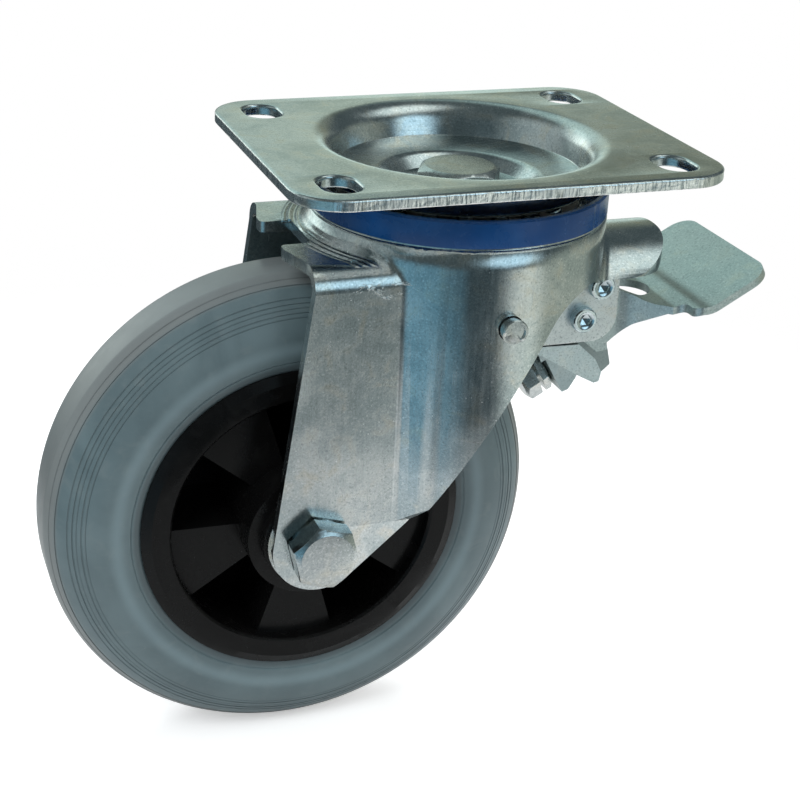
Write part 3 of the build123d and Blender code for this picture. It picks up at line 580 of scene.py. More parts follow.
def rounded_line(corners: Sequence[Point], radii: Sequence[float], steps: int) -> list[Point]:
    """Open line with its inner corners rounded by arcs.

    Args:
        corners: Corner points.
        radii: Radius at each inner corner.
        steps: Pieces in each arc.

    Returns:
        Points along the line.
    """
    line = [corners[0]]
    for before, corner, after, radius in zip(corners, corners[1:], corners[2:], radii):
        here = Vector(corner)
        back = (Vector(before) - here).normalized()
        ahead = (Vector(after) - here).normalized()
        half = back.angle(ahead) / 2
        reach = radius / max(abs(sin(half) / cos(half)), 1e-6)
        centre = here + (back + ahead).normalized() * radius / sin(half)
        start = here + back * reach - centre
        turn = (here + ahead * reach - centre).angle_signed(start)
        for i in range(steps + 1):
            share = turn * i / steps
            point = Vector((start.x * cos(share) - start.y * sin(share),
                            start.x * sin(share) + start.y * cos(share)))
            line.append(tuple(centre + point))
    line.append(corners[-1])
    return line


def beside(line: Sequence[Point], distance: float) -> list[Point]:
    """Line that runs at a distance from another, to its left.

    Args:
        line: Points of the first line.
        distance: How far to the left.

    Returns:
        Points of the new line.
    """
    moved = []
    for i, point in enumerate(line):
        back = Vector(line[max(i - 1, 0)])
        ahead = Vector(line[min(i + 1, len(line) - 1)])
        along = (ahead - back).normalized()
        moved.append((point[0] - along.y * distance, point[1] + along.x * distance))
    return moved


class Skin:
    """Mesh made of rings of points that are joined side by side."""

    def __init__(self) -> None:
        """Start an empty mesh."""
        self.points: list[Vector] = []
        self.faces: list[list[int]] = []

    def ring(self, points: Iterable[Vector]) -> list[int]:
        """Add a ring.

        Args:
            points: Its points.

        Returns:
            Their numbers.
        """
        start = len(self.points)
        self.points.extend(points)
        return list(range(start, len(self.points)))

    def bridge(self, first: Sequence[int], second: Sequence[int]) -> None:
        """Join two rings with four-sided faces.

        Args:
            first: Numbers of one ring.
            second: As many of the other.
        """
        count = len(first)
        for i in range(count):
            j = (i + 1) % count
            self.faces.append([first[i], first[j], second[j], second[i]])

    def loft(self, rings: Sequence[Sequence[int]], closed: bool = False) -> None:
        """Join rings one after the other.

        Args:
            rings: The rings.
            closed: Whether the last is joined to the first.
        """
        for first, second in zip(rings, rings[1:]):
            self.bridge(first, second)
        if closed:
            self.bridge(rings[-1], rings[0])

    def fill(self, loops: Sequence[Sequence[int]]) -> None:
        """Make a flat face.

        Args:
            loops: Its outline, then its holes.
        """
        numbers = [i for loop in loops for i in loop]
        for face in tessellate_polygon([[self.points[i] for i in loop] for loop in loops]):
            self.faces.append([numbers[i] for i in face])

    def fan(self, ring: Sequence[int]) -> None:
        """Close a ring with triangles to its middle.

        Args:
            ring: Numbers of the ring.
        """
        middle = sum((self.points[i] for i in ring), Vector()) / len(ring)
        self.points.append(middle)
        top = len(self.points) - 1
        for i, here in enumerate(ring):
            self.faces.append([here, ring[(i + 1) % len(ring)], top])

    def build(self, name: str, material: Material, sharp: float = 35.0) -> Object:
        """Turn the rings into an object.

        Args:
            name: The piece's name.
            material: Its finish.
            sharp: Angle in degrees from which an edge stays crisp.

        Returns:
            The new object.
        """
        mesh = bpy.data.meshes.new(name)
        mesh.from_pydata(self.points, [], self.faces)
        return finished(mesh, name, material, sharp)


def finished(mesh: Mesh, name: str, material: Material, sharp: float) -> Object:
    """Clean a mesh and put it in the scene.

    Args:
        mesh: The mesh.
        name: The piece's name.
        material: Its finish.
        sharp: Angle in degrees from which an edge stays crisp.

    Returns:
        The new object.
    """
    work = bmesh.new()
    work.from_mesh(mesh)
    bmesh.ops.remove_doubles(work, verts=work.verts, dist=WELD)
    bmesh.ops.recalc_face_normals(work, faces=work.faces)
    work.to_mesh(mesh)
    work.free()
    mesh.materials.clear()
    mesh.materials.append(material)
    mesh.shade_smooth()
    mesh.set_sharp_from_angle(angle=radians(sharp))
    return linked(name, mesh)


def node_copy(node: str, name: str, material: Material, edge: float, steps: int = 2,
              sharp: float = 28.0) -> Object:
    """Smooth copy of a rigid piece, with its edges rounded.

    Args:
        node: The piece to copy.
        name: The new piece's name.
        material: Its finish.
        edge: Width of the rounding in metres.
        steps: Pieces in the rounding.
        sharp: Angle in degrees from which an edge is rounded or stays crisp.

    Returns:
        The new object.
    """
    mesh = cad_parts[node].data.copy()
    work = bmesh.new()
    work.from_mesh(mesh)
    bmesh.ops.remove_doubles(work, verts=work.verts, dist=SOLID_WELD)
    bmesh.ops.dissolve_limit(work, angle_limit=FLAT, verts=work.verts, edges=work.edges)
    work.to_mesh(mesh)
    work.free()
    piece = finished(mesh, name, material, sharp)
    bevel = piece.modifiers.new("edge", "BEVEL")
    bevel.width = edge
    bevel.segments = steps
    bevel.limit_method = "ANGLE"
    bevel.angle_limit = radians(sharp)
    bevel.use_clamp_overlap = True
    bevel.harden_normals = True
    settle(piece)
    return piece


class Pattern:
    """Geometry node group that repeats a small shape at the points of a mesh."""

    def __init__(self, name: str) -> None:
        """Start a group with points in, a mesh out and a material.

        Args:
            name: Its name.
        """
        self.group = bpy.data.node_groups.new(name, "GeometryNodeTree")
        self.group.interface.new_socket("Points", in_out="INPUT", socket_type="NodeSocketGeometry")
        self.group.interface.new_socket("Mesh", in_out="OUTPUT", socket_type="NodeSocketGeometry")
        self.group.interface.new_socket("Material", in_out="INPUT", socket_type="NodeSocketMaterial")
        self.entry = self.group.nodes.new("NodeGroupInput")

    def size(self, name: str, kind: str = "Float") -> NodeSocket:
        """Add a named input of the group, and give back the socket that carries it."""
        self.group.interface.new_socket(name, in_out="INPUT", socket_type="NodeSocket" + kind)
        return self.entry.outputs[name]

    def node(self, kind: str, inputs: dict | None = None, **settings: object) -> NodeSocket:
        """Add a node and give back its first output."""
        return add_node(self.group, kind, inputs, **settings).outputs[0]

    def close(self, shape: NodeSocket, turn: NodeSocket) -> None:
        """Put the shape at every point, make it real and give it the material.

        Args:
            shape: The geometry to repeat.
            turn: Its turn, in radians.
        """
        spread = self.node("GeometryNodeInstanceOnPoints", {
            "Points": self.entry.outputs["Points"], "Instance": shape, "Rotation": turn})
        real = self.node("GeometryNodeRealizeInstances", {"Geometry": spread})
        dressed = self.node("GeometryNodeSetMaterial", {
            "Geometry": real, "Material": self.entry.outputs["Material"]})
        add_node(self.group, "NodeGroupOutput", {"Mesh": dressed})

    def make(self, name: str, points: Sequence[Vector], material: Material, **sizes: object) -> Object:
        """Run the group once and keep its result as plain mesh.

        Args:
            name: The piece's name.
            points: Where the shape goes.
            material: Its finish.
            sizes: Value for each named input.

        Returns:
            The new object.
        """
        host = bpy.data.meshes.new(name + "_points")
        host.from_pydata(points, [], [])
        piece = linked(name, host)
        modifier = piece.modifiers.new("pattern", "NODES")
        modifier.node_group = self.group
        values = {"Material": material, **{key.replace("_", " ").title(): v for key, v in sizes.items()}}
        for item in self.group.interface.items_tree:
            if item.in_out == "INPUT" and item.name in values:
                modifier[item.identifier] = values[item.name]
        settle(piece)
        piece.data.shade_smooth()
        piece.data.set_sharp_from_angle(angle=radians(30.0))
        return piece


def knurl_pattern() -> Pattern:
    """Ring of small ridges round an axis, as on a screw's head.

    Returns:
        The group.
    """
    knurl = Pattern("knurl")
    count, radius = knurl.size("Count", "Int"), knurl.size("Radius")
    ridge, length, turn = knurl.size("Ridge"), knurl.size("Length"), knurl.size("Turn", "Vector")
    ring = knurl.node("GeometryNodeCurvePrimitiveCircle", {"Resolution": count, "Radius": radius})
    bar = knurl.node("GeometryNodeMeshCylinder", {"Vertices": 4, "Radius": ridge, "Depth": length})
    step = knurl.node("ShaderNodeMath", {0: tau, 1: count}, operation="DIVIDE")
    index = knurl.node("GeometryNodeInputIndex")
    angle = knurl.node("ShaderNodeMath", {0: index, 1: step}, operation="MULTIPLY")
    facing = knurl.node("ShaderNodeCombineXYZ", {"Z": angle})
    ridges = knurl.node("GeometryNodeInstanceOnPoints", {"Points": ring, "Instance": bar, "Rotation": facing})
    knurl.close(ridges, turn)
    return knurl


def thread_pattern() -> Pattern:
    """Screw thread along an axis.

    Returns:
        The group.
    """
    thread = Pattern("thread")
    radius, pitch = thread.size("Radius"), thread.size("Pitch")
    turns, ridge, turn = thread.size("Turns"), thread.size("Ridge"), thread.size("Turn", "Vector")
    rise = thread.node("ShaderNodeMath", {0: pitch, 1: turns}, operation="MULTIPLY")
    helix = thread.node("GeometryNodeCurveSpiral", {
        "Resolution": 40, "Rotations": turns, "Start Radius": radius, "End Radius": radius, "Height": rise})
    section = thread.node("GeometryNodeCurvePrimitiveCircle", {"Resolution": 4, "Radius": ridge})
    swept = thread.node("GeometryNodeCurveToMesh", {
        "Curve": helix, "Profile Curve": section, "Fill Caps": True})
    thread.close(swept, turn)
    return thread


def settle(piece: Object) -> None:
    """Turn modifiers into plain mesh.

    Args:
        piece: The object that has them.
    """
    graph = bpy.context.evaluated_depsgraph_get()
    mesh = bpy.data.meshes.new_from_object(piece.evaluated_get(graph))
    piece.modifiers.clear()
    piece.data = mesh


def register(piece: Object, body: str, slot: str, *nodes: str) -> None:
    """Tell the frame what a new piece rides on, and hide the nodes that it stands for.

    Args:
        piece: The new piece.
        body: The body it moves with.
        slot: Name of a material slot; not used.
        nodes: Nodes that it replaces.
    """
    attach(piece, body)
    if nodes:
        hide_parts(*nodes)
    LOG.info("%s on %s, %d faces", piece.name, body, len(piece.data.polygons))


def dress(material: Material, *nodes: str) -> None:
    """Give a finish to nodes that stay as they are.

    Args:
        material: The finish.
        nodes: The nodes.
    """
    for node in nodes:
        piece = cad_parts[node]
        if not piece.data.materials:
            piece.data.materials.append(material)
        for slot in piece.material_slots:
            slot.material = material
        LOG.info("%s dressed in %s", node, material.name)


# Sub-assemblies

@dataclass
class MountingPlate:
    """Pressed top plate with four slots and the dish of the ball race."""

    finishes: Finishes
    sheet: float = 3.5 * MM
    corner: float = 15.0 * MM
    edge_roll: float = 1.1 * MM
    burr: float = 0.25 * MM
    slot_width: float = 11.5 * MM
    slot_length: float = 16.5 * MM
    slot_pitch_x: float = 105.0 * MM
    slot_pitch_y: float = 80.0 * MM
    slot_steps: int = 24
    corner_steps: int = 16
    long_steps: int = 110
    short_steps: int = 84
    roll_steps: int = 5
    torn_shares: tuple[float, ...] = (0.45, 0.6, 0.75, 0.88)
    torn_levels: range = range(5, 10)
    torn_mm: float = 0.05
    tears_mm: tuple[Layer, ...] = ((900.0, 1.7, 0.10), (260.0, 0.6, 0.08))
    slot_roll: float = 0.8
    dish_count: int = 192
    dish_line: tuple[Point, ...] = ((50.1, -1.75), (42.6, -1.75), (39.6, -11.75), (26.5, -13.75),
                                    (22.5, -17.75), (8.1, -17.75))
    dish_bends: tuple[float, ...] = (5.5, 2.2, 2.2, 2.2)

    def outline(self, inset: float, height: float) -> list[Vector]:
        """Rounded rectangle of the plate's edge.

        Args:
            inset: How far inside the plate's outline.
            height: Z of the loop.

        Returns:
            The loop's points.
        """
        low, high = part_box("top_plate")
        half_x = (high.x - low.x) / 2 - inset
        half_y = (high.y - low.y) / 2 - inset
        corner = self.corner - inset
        loop = []
        for quarter, (sign_x, sign_y) in enumerate(((1, 1), (-1, 1), (-1, -1), (1, -1))):
            start = quarter * pi / 2
            middle = Vector((sign_x * (half_x - corner), sign_y * (half_y - corner), height))
            for i in range(self.corner_steps + 1):
                angle = start + i / self.corner_steps * pi / 2
                loop.append(middle + Vector((corner * cos(angle), corner * sin(angle), 0)))
            half, count = (half_y, self.short_steps) if quarter % 2 else (half_x, self.long_steps)
            side = Vector((-sin(start + pi / 2), cos(start + pi / 2), 0)) * 2 * (half - corner)
            last = loop[-1]
            loop.extend(last + side * k / count for k in range(1, count))
        return loop

    def slot_loop(self, centre: Vector, grow: float, height: float) -> list[Vector]:
        """Edge of one slotted hole.

        Args:
            centre: Middle of the slot.
            grow: How far outside the slot's wall.
            height: Z of the loop.

        Returns:
            The loop's points.
        """
        radius = self.slot_width / 2 + grow
        half = (self.slot_length - self.slot_width) / 2
        loop = []
        for end in (1, -1):
            for i in range(self.slot_steps + 1):
                angle = pi * i / self.slot_steps + (0 if end == 1 else pi)
                loop.append(centre + Vector((radius * cos(angle), radius * sin(angle) + end * half, height)))
        return loop

    def edge_levels(self) -> list[Point]:
        """Section of the sheared edge.

        Returns:
            Inset and height of each level, from the top face down.
        """
        levels = []
        for i in range(self.roll_steps + 1):
            angle = i * pi / (2 * self.roll_steps)
            levels.append((self.edge_roll * (1 - sin(angle)), -0.8 * self.edge_roll * (1 - cos(angle))))
        levels += [(0.03 * MM, -self.sheet * share) for share in self.torn_shares]
        return levels + [(self.burr * 0.3, -self.sheet + self.burr), (self.burr, -self.sheet)]

    def rough_edge(self, loop: list[Vector], level: int) -> list[Vector]:
        """Break up the sheared band of the edge.

        Args:
            loop: Points of one level of the edge.
            level: Which level it is.

        Returns:
            The moved points.
        """
        if level not in self.torn_levels:
            return loop
        moved = []
        for point in loop:
            depth = self.torn_mm
            for scale, climb, most in self.tears_mm:
                depth += most * noise.noise(Vector((point.x * scale, point.y * scale, level * climb)))
            moved.append(point - Vector((point.x, point.y, 0)).normalized() * max(0.0, depth) * MM)
        return moved

    def build(self) -> None:
        """Make the plate."""
        skin = Skin()
        levels = self.edge_levels()
        edge = [skin.ring(self.rough_edge(self.outline(*place), i)) for i, place in enumerate(levels)]
        skin.loft(edge)
        holes = []
        for x in (-self.slot_pitch_x / 2, self.slot_pitch_x / 2):
            for y in (-self.slot_pitch_y / 2, self.slot_pitch_y / 2):
                centre = Vector((x, y, 0))
                wall = [skin.ring(self.slot_loop(centre, self.slot_roll * inset, z)) for inset, z in levels]
                skin.loft(wall)
                holes.append(wall)
        middle = [(r * MM, z * MM) for r, z in self.dish_line]
        line = rounded_line(middle, [b * MM for b in self.dish_bends], 9)
        faces = [beside(line, -self.sheet / 2), beside(line, self.sheet / 2)]
        dish = [[skin.ring(circle(r, z, self.dish_count)) for r, z in face] for face in faces]
        skin.loft(dish[0])
        skin.loft(dish[1])
        skin.bridge(dish[0][-1], dish[1][-1])
        for end, face in zip((0, -1), dish):
            skin.fill([edge[end], face[0], *[wall[end] for wall in holes]])
        plate = skin.build("plate_pressing", self.finishes.plate, sharp=38.0)
        register(plate, "plate", "zinc_sheet", "top_plate")


@dataclass
class SwivelHead:
    """King bolt, ball race and the blue ring."""

    finishes: Finishes
    ring_wall: float = 2.2 * MM
    lip_width: float = 4.2 * MM
    lip: float = 1.4 * MM
    seam_angle: float = radians(-49.0)
    seam_width: float = 0.9 * MM
    seam_depth: float = 0.5 * MM
    count: int = 240

    def dust_ring(self) -> None:
        """Blue ring with the seam where its ends meet."""
        low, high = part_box("dust_ring")
        outer = (high.y - low.y) / 2 - 0.02 * MM
        inner = outer - self.ring_wall
        corners = [
            (inner - self.lip_width, low.z), (outer - 0.15 * MM, low.z), (outer, low.z + 0.3 * MM),
            (outer, high.z - 0.6 * MM), (outer - 0.6 * MM, high.z), (inner + 0.4 * MM, high.z),
            (inner, high.z - 0.4 * MM), (inner, low.z + self.lip), (inner - self.lip_width, low.z + self.lip),
        ]
        skin = Skin()
        rings = []
        for r, z in corners:
            points = circle(r, z, self.count)
            for i, point in enumerate(points):
                gap = abs((atan2(point.y, point.x) - self.seam_angle + pi) % tau - pi) * outer
                if gap < self.seam_width and r > inner:
                    dip = self.seam_depth * (1 - gap / self.seam_width)
                    points[i] = point - Vector((point.x, point.y, 0)).normalized() * dip
            rings.append(skin.ring(points))
        skin.loft(rings, closed=True)
        register(skin.build("blue_dust_ring", self.finishes.blue), "fork", "blue_plastic", "dust_ring")

    def build(self) -> None:
        """Make and dress the head's pieces."""
        self.dust_ring()
        for node in ("king_bolt", "king_nut"):
            piece = node_copy(node, node + "_forged", self.finishes.bolt, edge=0.35 * MM)
            register(piece, "plate", "fastener", node)
        dress(self.finishes.race, "lower_race", "upper_balls", "lower_balls")
        dress(self.finishes.cage, "upper_ball_cage", "lower_ball_cage")


@dataclass
class Fork:
    """Pressed fork."""

    finishes: Finishes
    edge: float = 0.5 * MM

    def build(self) -> None:
        """Make the fork."""
        fork = node_copy("fork", "fork_pressing", self.finishes.fork, edge=self.edge, sharp=30.0)
        register(fork, "fork", "zinc_sheet", "fork")


@dataclass
class Wheel:
    """Rubber tyre on a moulded rim."""

    finishes: Finishes
    tread_half: float = 6.0 * MM
    seat_r: float = 49.5 * MM
    edge_r: float = 52.1 * MM
    edge_half: float = 18.2 * MM
    key_height: float = 3.0 * MM
    key_half: float = 4.0 * MM
    wall_grooves: tuple[float, ...] = (68.6, 69.9, 71.2, 72.5, 73.8)
    tread_grooves: tuple[float, ...] = (77.2, 78.5)
    groove_width: float = 0.92 * MM
    groove_depth: float = 0.28 * MM
    bead_line: float = 55.0 * MM
    upper_steps: int = 48
    lower_steps: int = 14
    count: int = 200

    def shoulder(self) -> list[Point]:
        """One side of the tyre's section.

        Returns:
            Points as (radius, y), from the tread to the bead.
        """
        low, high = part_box("tyre")
        radius = (high.z - low.z) / 2
        half = (high.y - low.y) / 2
        crown = Vector((radius, self.tread_half, 0))
        widest = Vector((radius - 19 * MM, half, 0))
        bead = Vector((self.edge_r, self.edge_half, 0))
        upper = interpolate_bezier(crown, crown + Vector((-0.6, 5.4, 0)) * MM,
                                   widest + Vector((8.2, -0.6, 0)) * MM, widest, self.upper_steps)
        lower = interpolate_bezier(widest, widest + Vector((-3.5, 0.2, 0)) * MM,
                                   bead + Vector((3.0, 0.7, 0)) * MM, bead, self.lower_steps)
        return [(p.x, p.y) for p in upper[:-1]] + [(p.x, p.y) for p in lower]

    def grooved(self, line: list[Point]) -> list[Point]:
        """Cut the fine mould lines into the tyre's section.

        Args:
            line: One side of the section, from the tread to the bead.

        Returns:
            The section with its lines cut.
        """
        cut = []
        marks = [r * MM for r in self.wall_grooves + self.tread_grooves] + [self.bead_line]
        for first, second in zip(line, line[1:]):
            cut.append(first)
            along = Vector(second) - Vector(first)
            inward = Vector((-abs(along.y), along.x if along.x < 0 else -along.x)).normalized()
            for mark in sorted(marks, reverse=True):
                if not second[0] < mark <= first[0]:
                    continue
                share = (first[0] - mark) / (first[0] - second[0])
                spot = Vector(first) + along * share
                step = along.normalized() * self.groove_width / 2
                cut += [tuple(spot - step), tuple(spot + inward * self.groove_depth), tuple(spot + step)]
        cut.append(line[-1])
        return cut

    def tyre(self) -> None:
        """Tyre with its mould lines."""
        side = self.grooved(self.shoulder())
        mirrored = [(r, -y) for r, y in side[::-1]]
        bevel = self.edge_r - self.seat_r
        seat = [
            (self.seat_r, self.edge_half - bevel), (self.seat_r, self.key_half),
            (self.seat_r + self.key_height, self.key_half), (self.seat_r + self.key_height, -self.key_half),
            (self.seat_r, -self.key_half), (self.seat_r, bevel - self.edge_half),
        ]
        low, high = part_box("tyre")
        middle = (low + high) / 2
        skin = Skin()
        rings = [skin.ring(circle(r, y, self.count, middle, "Y")) for r, y in side + seat + mirrored]
        skin.loft(rings, closed=True)
        register(skin.build("rubber_tyre", self.finishes.rubber, 50.0), "wheel", "grey_rubber", "tyre")

    def build(self) -> None:
        """Make and dress the wheel."""
        self.tyre()
        rim = node_copy("rim", "moulded_rim", self.finishes.black, edge=0.4 * MM, sharp=30.0)
        register(rim, "wheel", "black_plastic", "rim")
        dress(self.finishes.race, "rollers")
        dress(self.finishes.cage, "roller_cage")


@dataclass
class Axle:
    """Axle bolt, nut and washers."""

    finishes: Finishes
    radius: float = 6.0 * MM
    pitch: float = 1.75 * MM
    depth: float = 0.55 * MM
    edge: float = 0.3 * MM

    def bolt(self) -> None:
        """Axle bolt with a thread on the end that shows beyond the nut."""
        piece = node_copy("axle_bolt", "axle_bolt_forged", self.finishes.bolt, self.edge)
        low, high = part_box("axle_bolt")
        centre = Vector(((low.x + high.x) / 2, 0, (low.z + high.z) / 2))
        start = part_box("axle_nut")[0].y
        share = 1 - self.depth / self.radius
        for vertex in piece.data.vertices:
            if vertex.co.y > start:
                flat = Vector((vertex.co.x - centre.x, 0, vertex.co.z - centre.z)) * share
                vertex.co = Vector((centre.x + flat.x, vertex.co.y, centre.z + flat.z))
        register(piece, "fork", "fastener", "axle_bolt")
        turns = (high.y - start - 1.4 * MM) / self.pitch
        foot = Vector((centre.x, high.y - 0.7 * MM - turns * self.pitch, centre.z))
        thread = thread_pattern().make("axle_thread", [foot], self.finishes.bolt,
                                       radius=self.radius - self.depth, pitch=self.pitch, turns=turns,
                                       ridge=self.depth * 0.98, turn=(-pi / 2, 0.0, 0.0))
        register(thread, "fork", "fastener")

    def build(self) -> None:
        """Make and dress the axle's pieces."""
        self.bolt()
        piece = node_copy("axle_nut", "axle_nut_forged", self.finishes.bolt, self.edge)
        register(piece, "fork", "fastener", "axle_nut")
        dress(self.finishes.bolt, "axle_nut_washer", "thrust_washer_near", "thrust_washer_far")
        dress(self.finishes.race, "axle_tube")


@dataclass
class SocketScrews:
    """The four cap screws of the cheek plates, with knurled heads."""

    finishes: Finishes
    head: float = 3.2 * MM
    shank_r: float = 2.5 * MM
    knurl_depth: float = 0.12 * MM
    knurl_count: int = 44
    knurl_start: float = 0.35 * MM
    knurl_end: float = 2.75 * MM
    rim_width: float = 1.15 * MM
    chamfer: float = 0.35 * MM
    funnel: float = 0.35 * MM
    socket: float = 2.3 * MM
    socket_depth: float = 1.7 * MM
    cone_depth: float = 0.9 * MM
    count: int = 48

    def hexagon(self, radius: float, height: float, foot: Vector, out: float) -> list[Vector]:
        """Six-sided loop with as many points as the round ones.

        Args:
            radius: Distance of its corners from the axis.
            height: Distance from the head's foot.
            foot: Middle of the head's foot.
            out: Which way the head faces along Y.

        Returns:
            The loop's points.
        """
        loop = []
        for i in range(self.count):
            angle = tau * i / self.count
            near_side = (angle % (pi / 3)) - pi / 6
            reach = radius * cos(pi / 6) / cos(near_side)
            loop.append(foot + Vector((reach * cos(angle), out * height, reach * sin(angle))))
        return loop

    def screw(self, node: str) -> Vector:
        """Make one screw in place of its node.

        Args:
            node: The node.

        Returns:
            Middle of the knurled band.
        """
        low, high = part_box(node)
        middle = (low + high) / 2
        out = 1.0 if middle.y > 0 else -1.0
        top, end = (high.y, low.y) if out > 0 else (low.y, high.y)
        foot = Vector((middle.x, top - out * self.head, middle.z))
        radius = (high.x - low.x) / 2
        body = radius - self.knurl_depth
        reach = abs(top - end) - self.head
        skin = Skin()
        round_rings = [
            (self.shank_r - 0.3 * MM, -reach), (self.shank_r, 0.3 * MM - reach), (self.shank_r, 0.0),
            (body, 0.0), (body, self.head - self.chamfer), (body - self.chamfer, self.head),
            (radius - self.rim_width, self.head), (self.socket + self.funnel, self.head - self.funnel),
        ]
        rings = [skin.ring(circle(r, out * h, self.count, foot, "Y")) for r, h in round_rings]
        for drop in (self.funnel + 0.1 * MM, self.socket_depth):
            rings.append(skin.ring(self.hexagon(self.socket, self.head - drop, foot, out)))
        tip = self.head - self.socket_depth - self.cone_depth
        rings.append(skin.ring(circle(0.2 * MM, out * tip, self.count, foot, "Y")))
        skin.loft(rings)
        skin.fan(rings[0])
        skin.fan(rings[-1])
        piece = skin.build(node + "_cap", self.finishes.screw, 30.0)
        register(piece, "brake", "fastener", node)
        return foot + Vector((0, out * (self.knurl_start + self.knurl_end) / 2, 0))

    def build(self) -> None:
        """Make the screws, then the knurls of all four in one piece."""
        nodes = [f"cheek_screw_{side}_{place}" for side in ("near", "far") for place in ("upper", "lower")]
        places = [self.screw(node) for node in nodes]
        low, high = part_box(nodes[0])
        radius = (high.x - low.x) / 2 - self.knurl_depth
        knurls = knurl_pattern().make("screw_knurls", places, self.finishes.screw, count=self.knurl_count,
                                      radius=radius, ridge=self.knurl_depth,
                                      length=self.knurl_end - self.knurl_start, turn=(pi / 2, 0.0, 0.0))
        register(knurls, "brake", "fastener")


@dataclass
class PivotPin:
    """Pin of the brake lever, with ends that are staked over to a lip."""

    finishes: Finishes
    lip_width: float = 0.9 * MM
    lip_height: float = 0.8 * MM
    face_dip: float = 0.25 * MM
    neck: float = 0.35 * MM
    lip_middle: float = radians(70.0)
    lip_half: float = radians(105.0)
    lip_fade: float = 0.4
    count: int = 64

    def end_rings(self, top: float, out: float, radius: float, middle: Vector) -> list[list[Vector]]:
        """Loops of one end, from its side to the middle of its face.

        Args:
            top: Y of the end.
            out: Which way the end faces along Y.
            radius: Radius of the pin.
            middle: Middle of the pin.

        Returns:
            The loops.
        """
        lip, width = self.lip_height, self.lip_width
        levels = (
            (radius - self.neck, lip + 0.9 * MM, False), (radius, lip + 0.5 * MM, False),
            (radius, 0.35 * MM, False), (radius - 0.3 * MM, 0.0, False), (radius - width, 0.0, False),
            (radius - width - 0.25 * MM, 0.15 * MM, True), (0.4 * MM, 0.1 * MM, True),
        )
        rings = []
        for r, drop, inside in levels:
            ring = []
            for i in range(self.count):
                angle = tau * i / self.count
                away = abs((angle - self.lip_middle + pi) % tau - pi)
                gone = min(1.0, max(0.0, (away - self.lip_half) / self.lip_fade))
                if inside:
                    depth = lip - self.face_dip + drop
                else:
                    depth = drop + (lip * gone if drop < lip else 0.0)
                ring.append(Vector((middle.x + r * cos(angle), top - out * depth, middle.z + r * sin(angle))))
            rings.append(ring)
        return rings

    def build(self) -> None:
        """Make the pin."""
        low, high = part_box("pivot_pin")
        middle = (low + high) / 2
        radius = (high.x - low.x) / 2
        skin = Skin()
        near = [skin.ring(ring) for ring in self.end_rings(low.y, -1.0, radius, middle)]
        far = [skin.ring(ring) for ring in self.end_rings(high.y, 1.0, radius, middle)]
        skin.loft(near[::-1])
        skin.bridge(near[0], far[0])
        skin.loft(far)
        skin.fan(near[-1])
        skin.fan(far[-1])
        register(skin.build("pivot_pin_staked", self.finishes.bolt, 32.0), "fork", "fastener", "pivot_pin")


@dataclass
class Brake:
    """Foot lever, cheek plates, shoe and adjusting screw."""

    finishes: Finishes

    def build(self) -> None:
        """Make and dress the brake."""
        lever = node_copy("brake_pedal", "lever_pressing", self.finishes.lever, edge=0.8 * MM, steps=3)
        register(lever, "brake", "zinc_sheet", "brake_pedal")
        for side in ("near", "far"):
            cheek = node_copy("cheek_plate_" + side, "cheek_" + side, self.finishes.cheek, edge=0.35 * MM)
            register(cheek, "brake", "zinc_sheet", "cheek_plate_" + side)
            dress(self.finishes.bolt, "pivot_spacer_" + side)
        SocketScrews(self.finishes).build()
        shoe = node_copy("brake_shoe", "shoe_casting", self.finishes.cast, edge=0.9 * MM, steps=3)
        register(shoe, "brake", "cast_zinc", "brake_shoe")
        for node in ("adjuster_screw", "adjuster_nut"):
            piece = node_copy(node, node + "_forged", self.finishes.bolt, edge=0.25 * MM)
            register(piece, "brake", "fastener", node)
        PivotPin(self.finishes).build()


# Studio

@dataclass(frozen=True)
class Panel:
    """Soft bright or dark area of the room that the steel reflects."""

    azimuth: float
    elevation: float
    spread: float
    colour: Colour

    def toward(self) -> Vector:
        """Unit vector to the panel's middle."""
        a, e = radians(self.azimuth), radians(self.elevation)
        return Vector((cos(a) * cos(e), sin(a) * cos(e), sin(e)))


@dataclass(frozen=True)
class Lamp:
    """Square soft lamp, with its side in metres and its power in watts."""

    name: str
    place: Place
    size: float
    power: float
    colour: Colour

    def hang(self, target: Vector) -> None:
        """Put the lamp in the scene.

        Args:
            target: What it points at.
        """
        data = bpy.data.lights.new(self.name, "AREA")
        data.shape = "SQUARE"
        data.size = self.size
        data.energy = self.power
        data.color = self.colour
        lamp = linked(self.name, data)
        lamp.location = self.place
        lamp.rotation_euler = (target - Vector(self.place)).to_track_quat("-Z", "Y").to_euler()
        lamp.visible_glossy = False


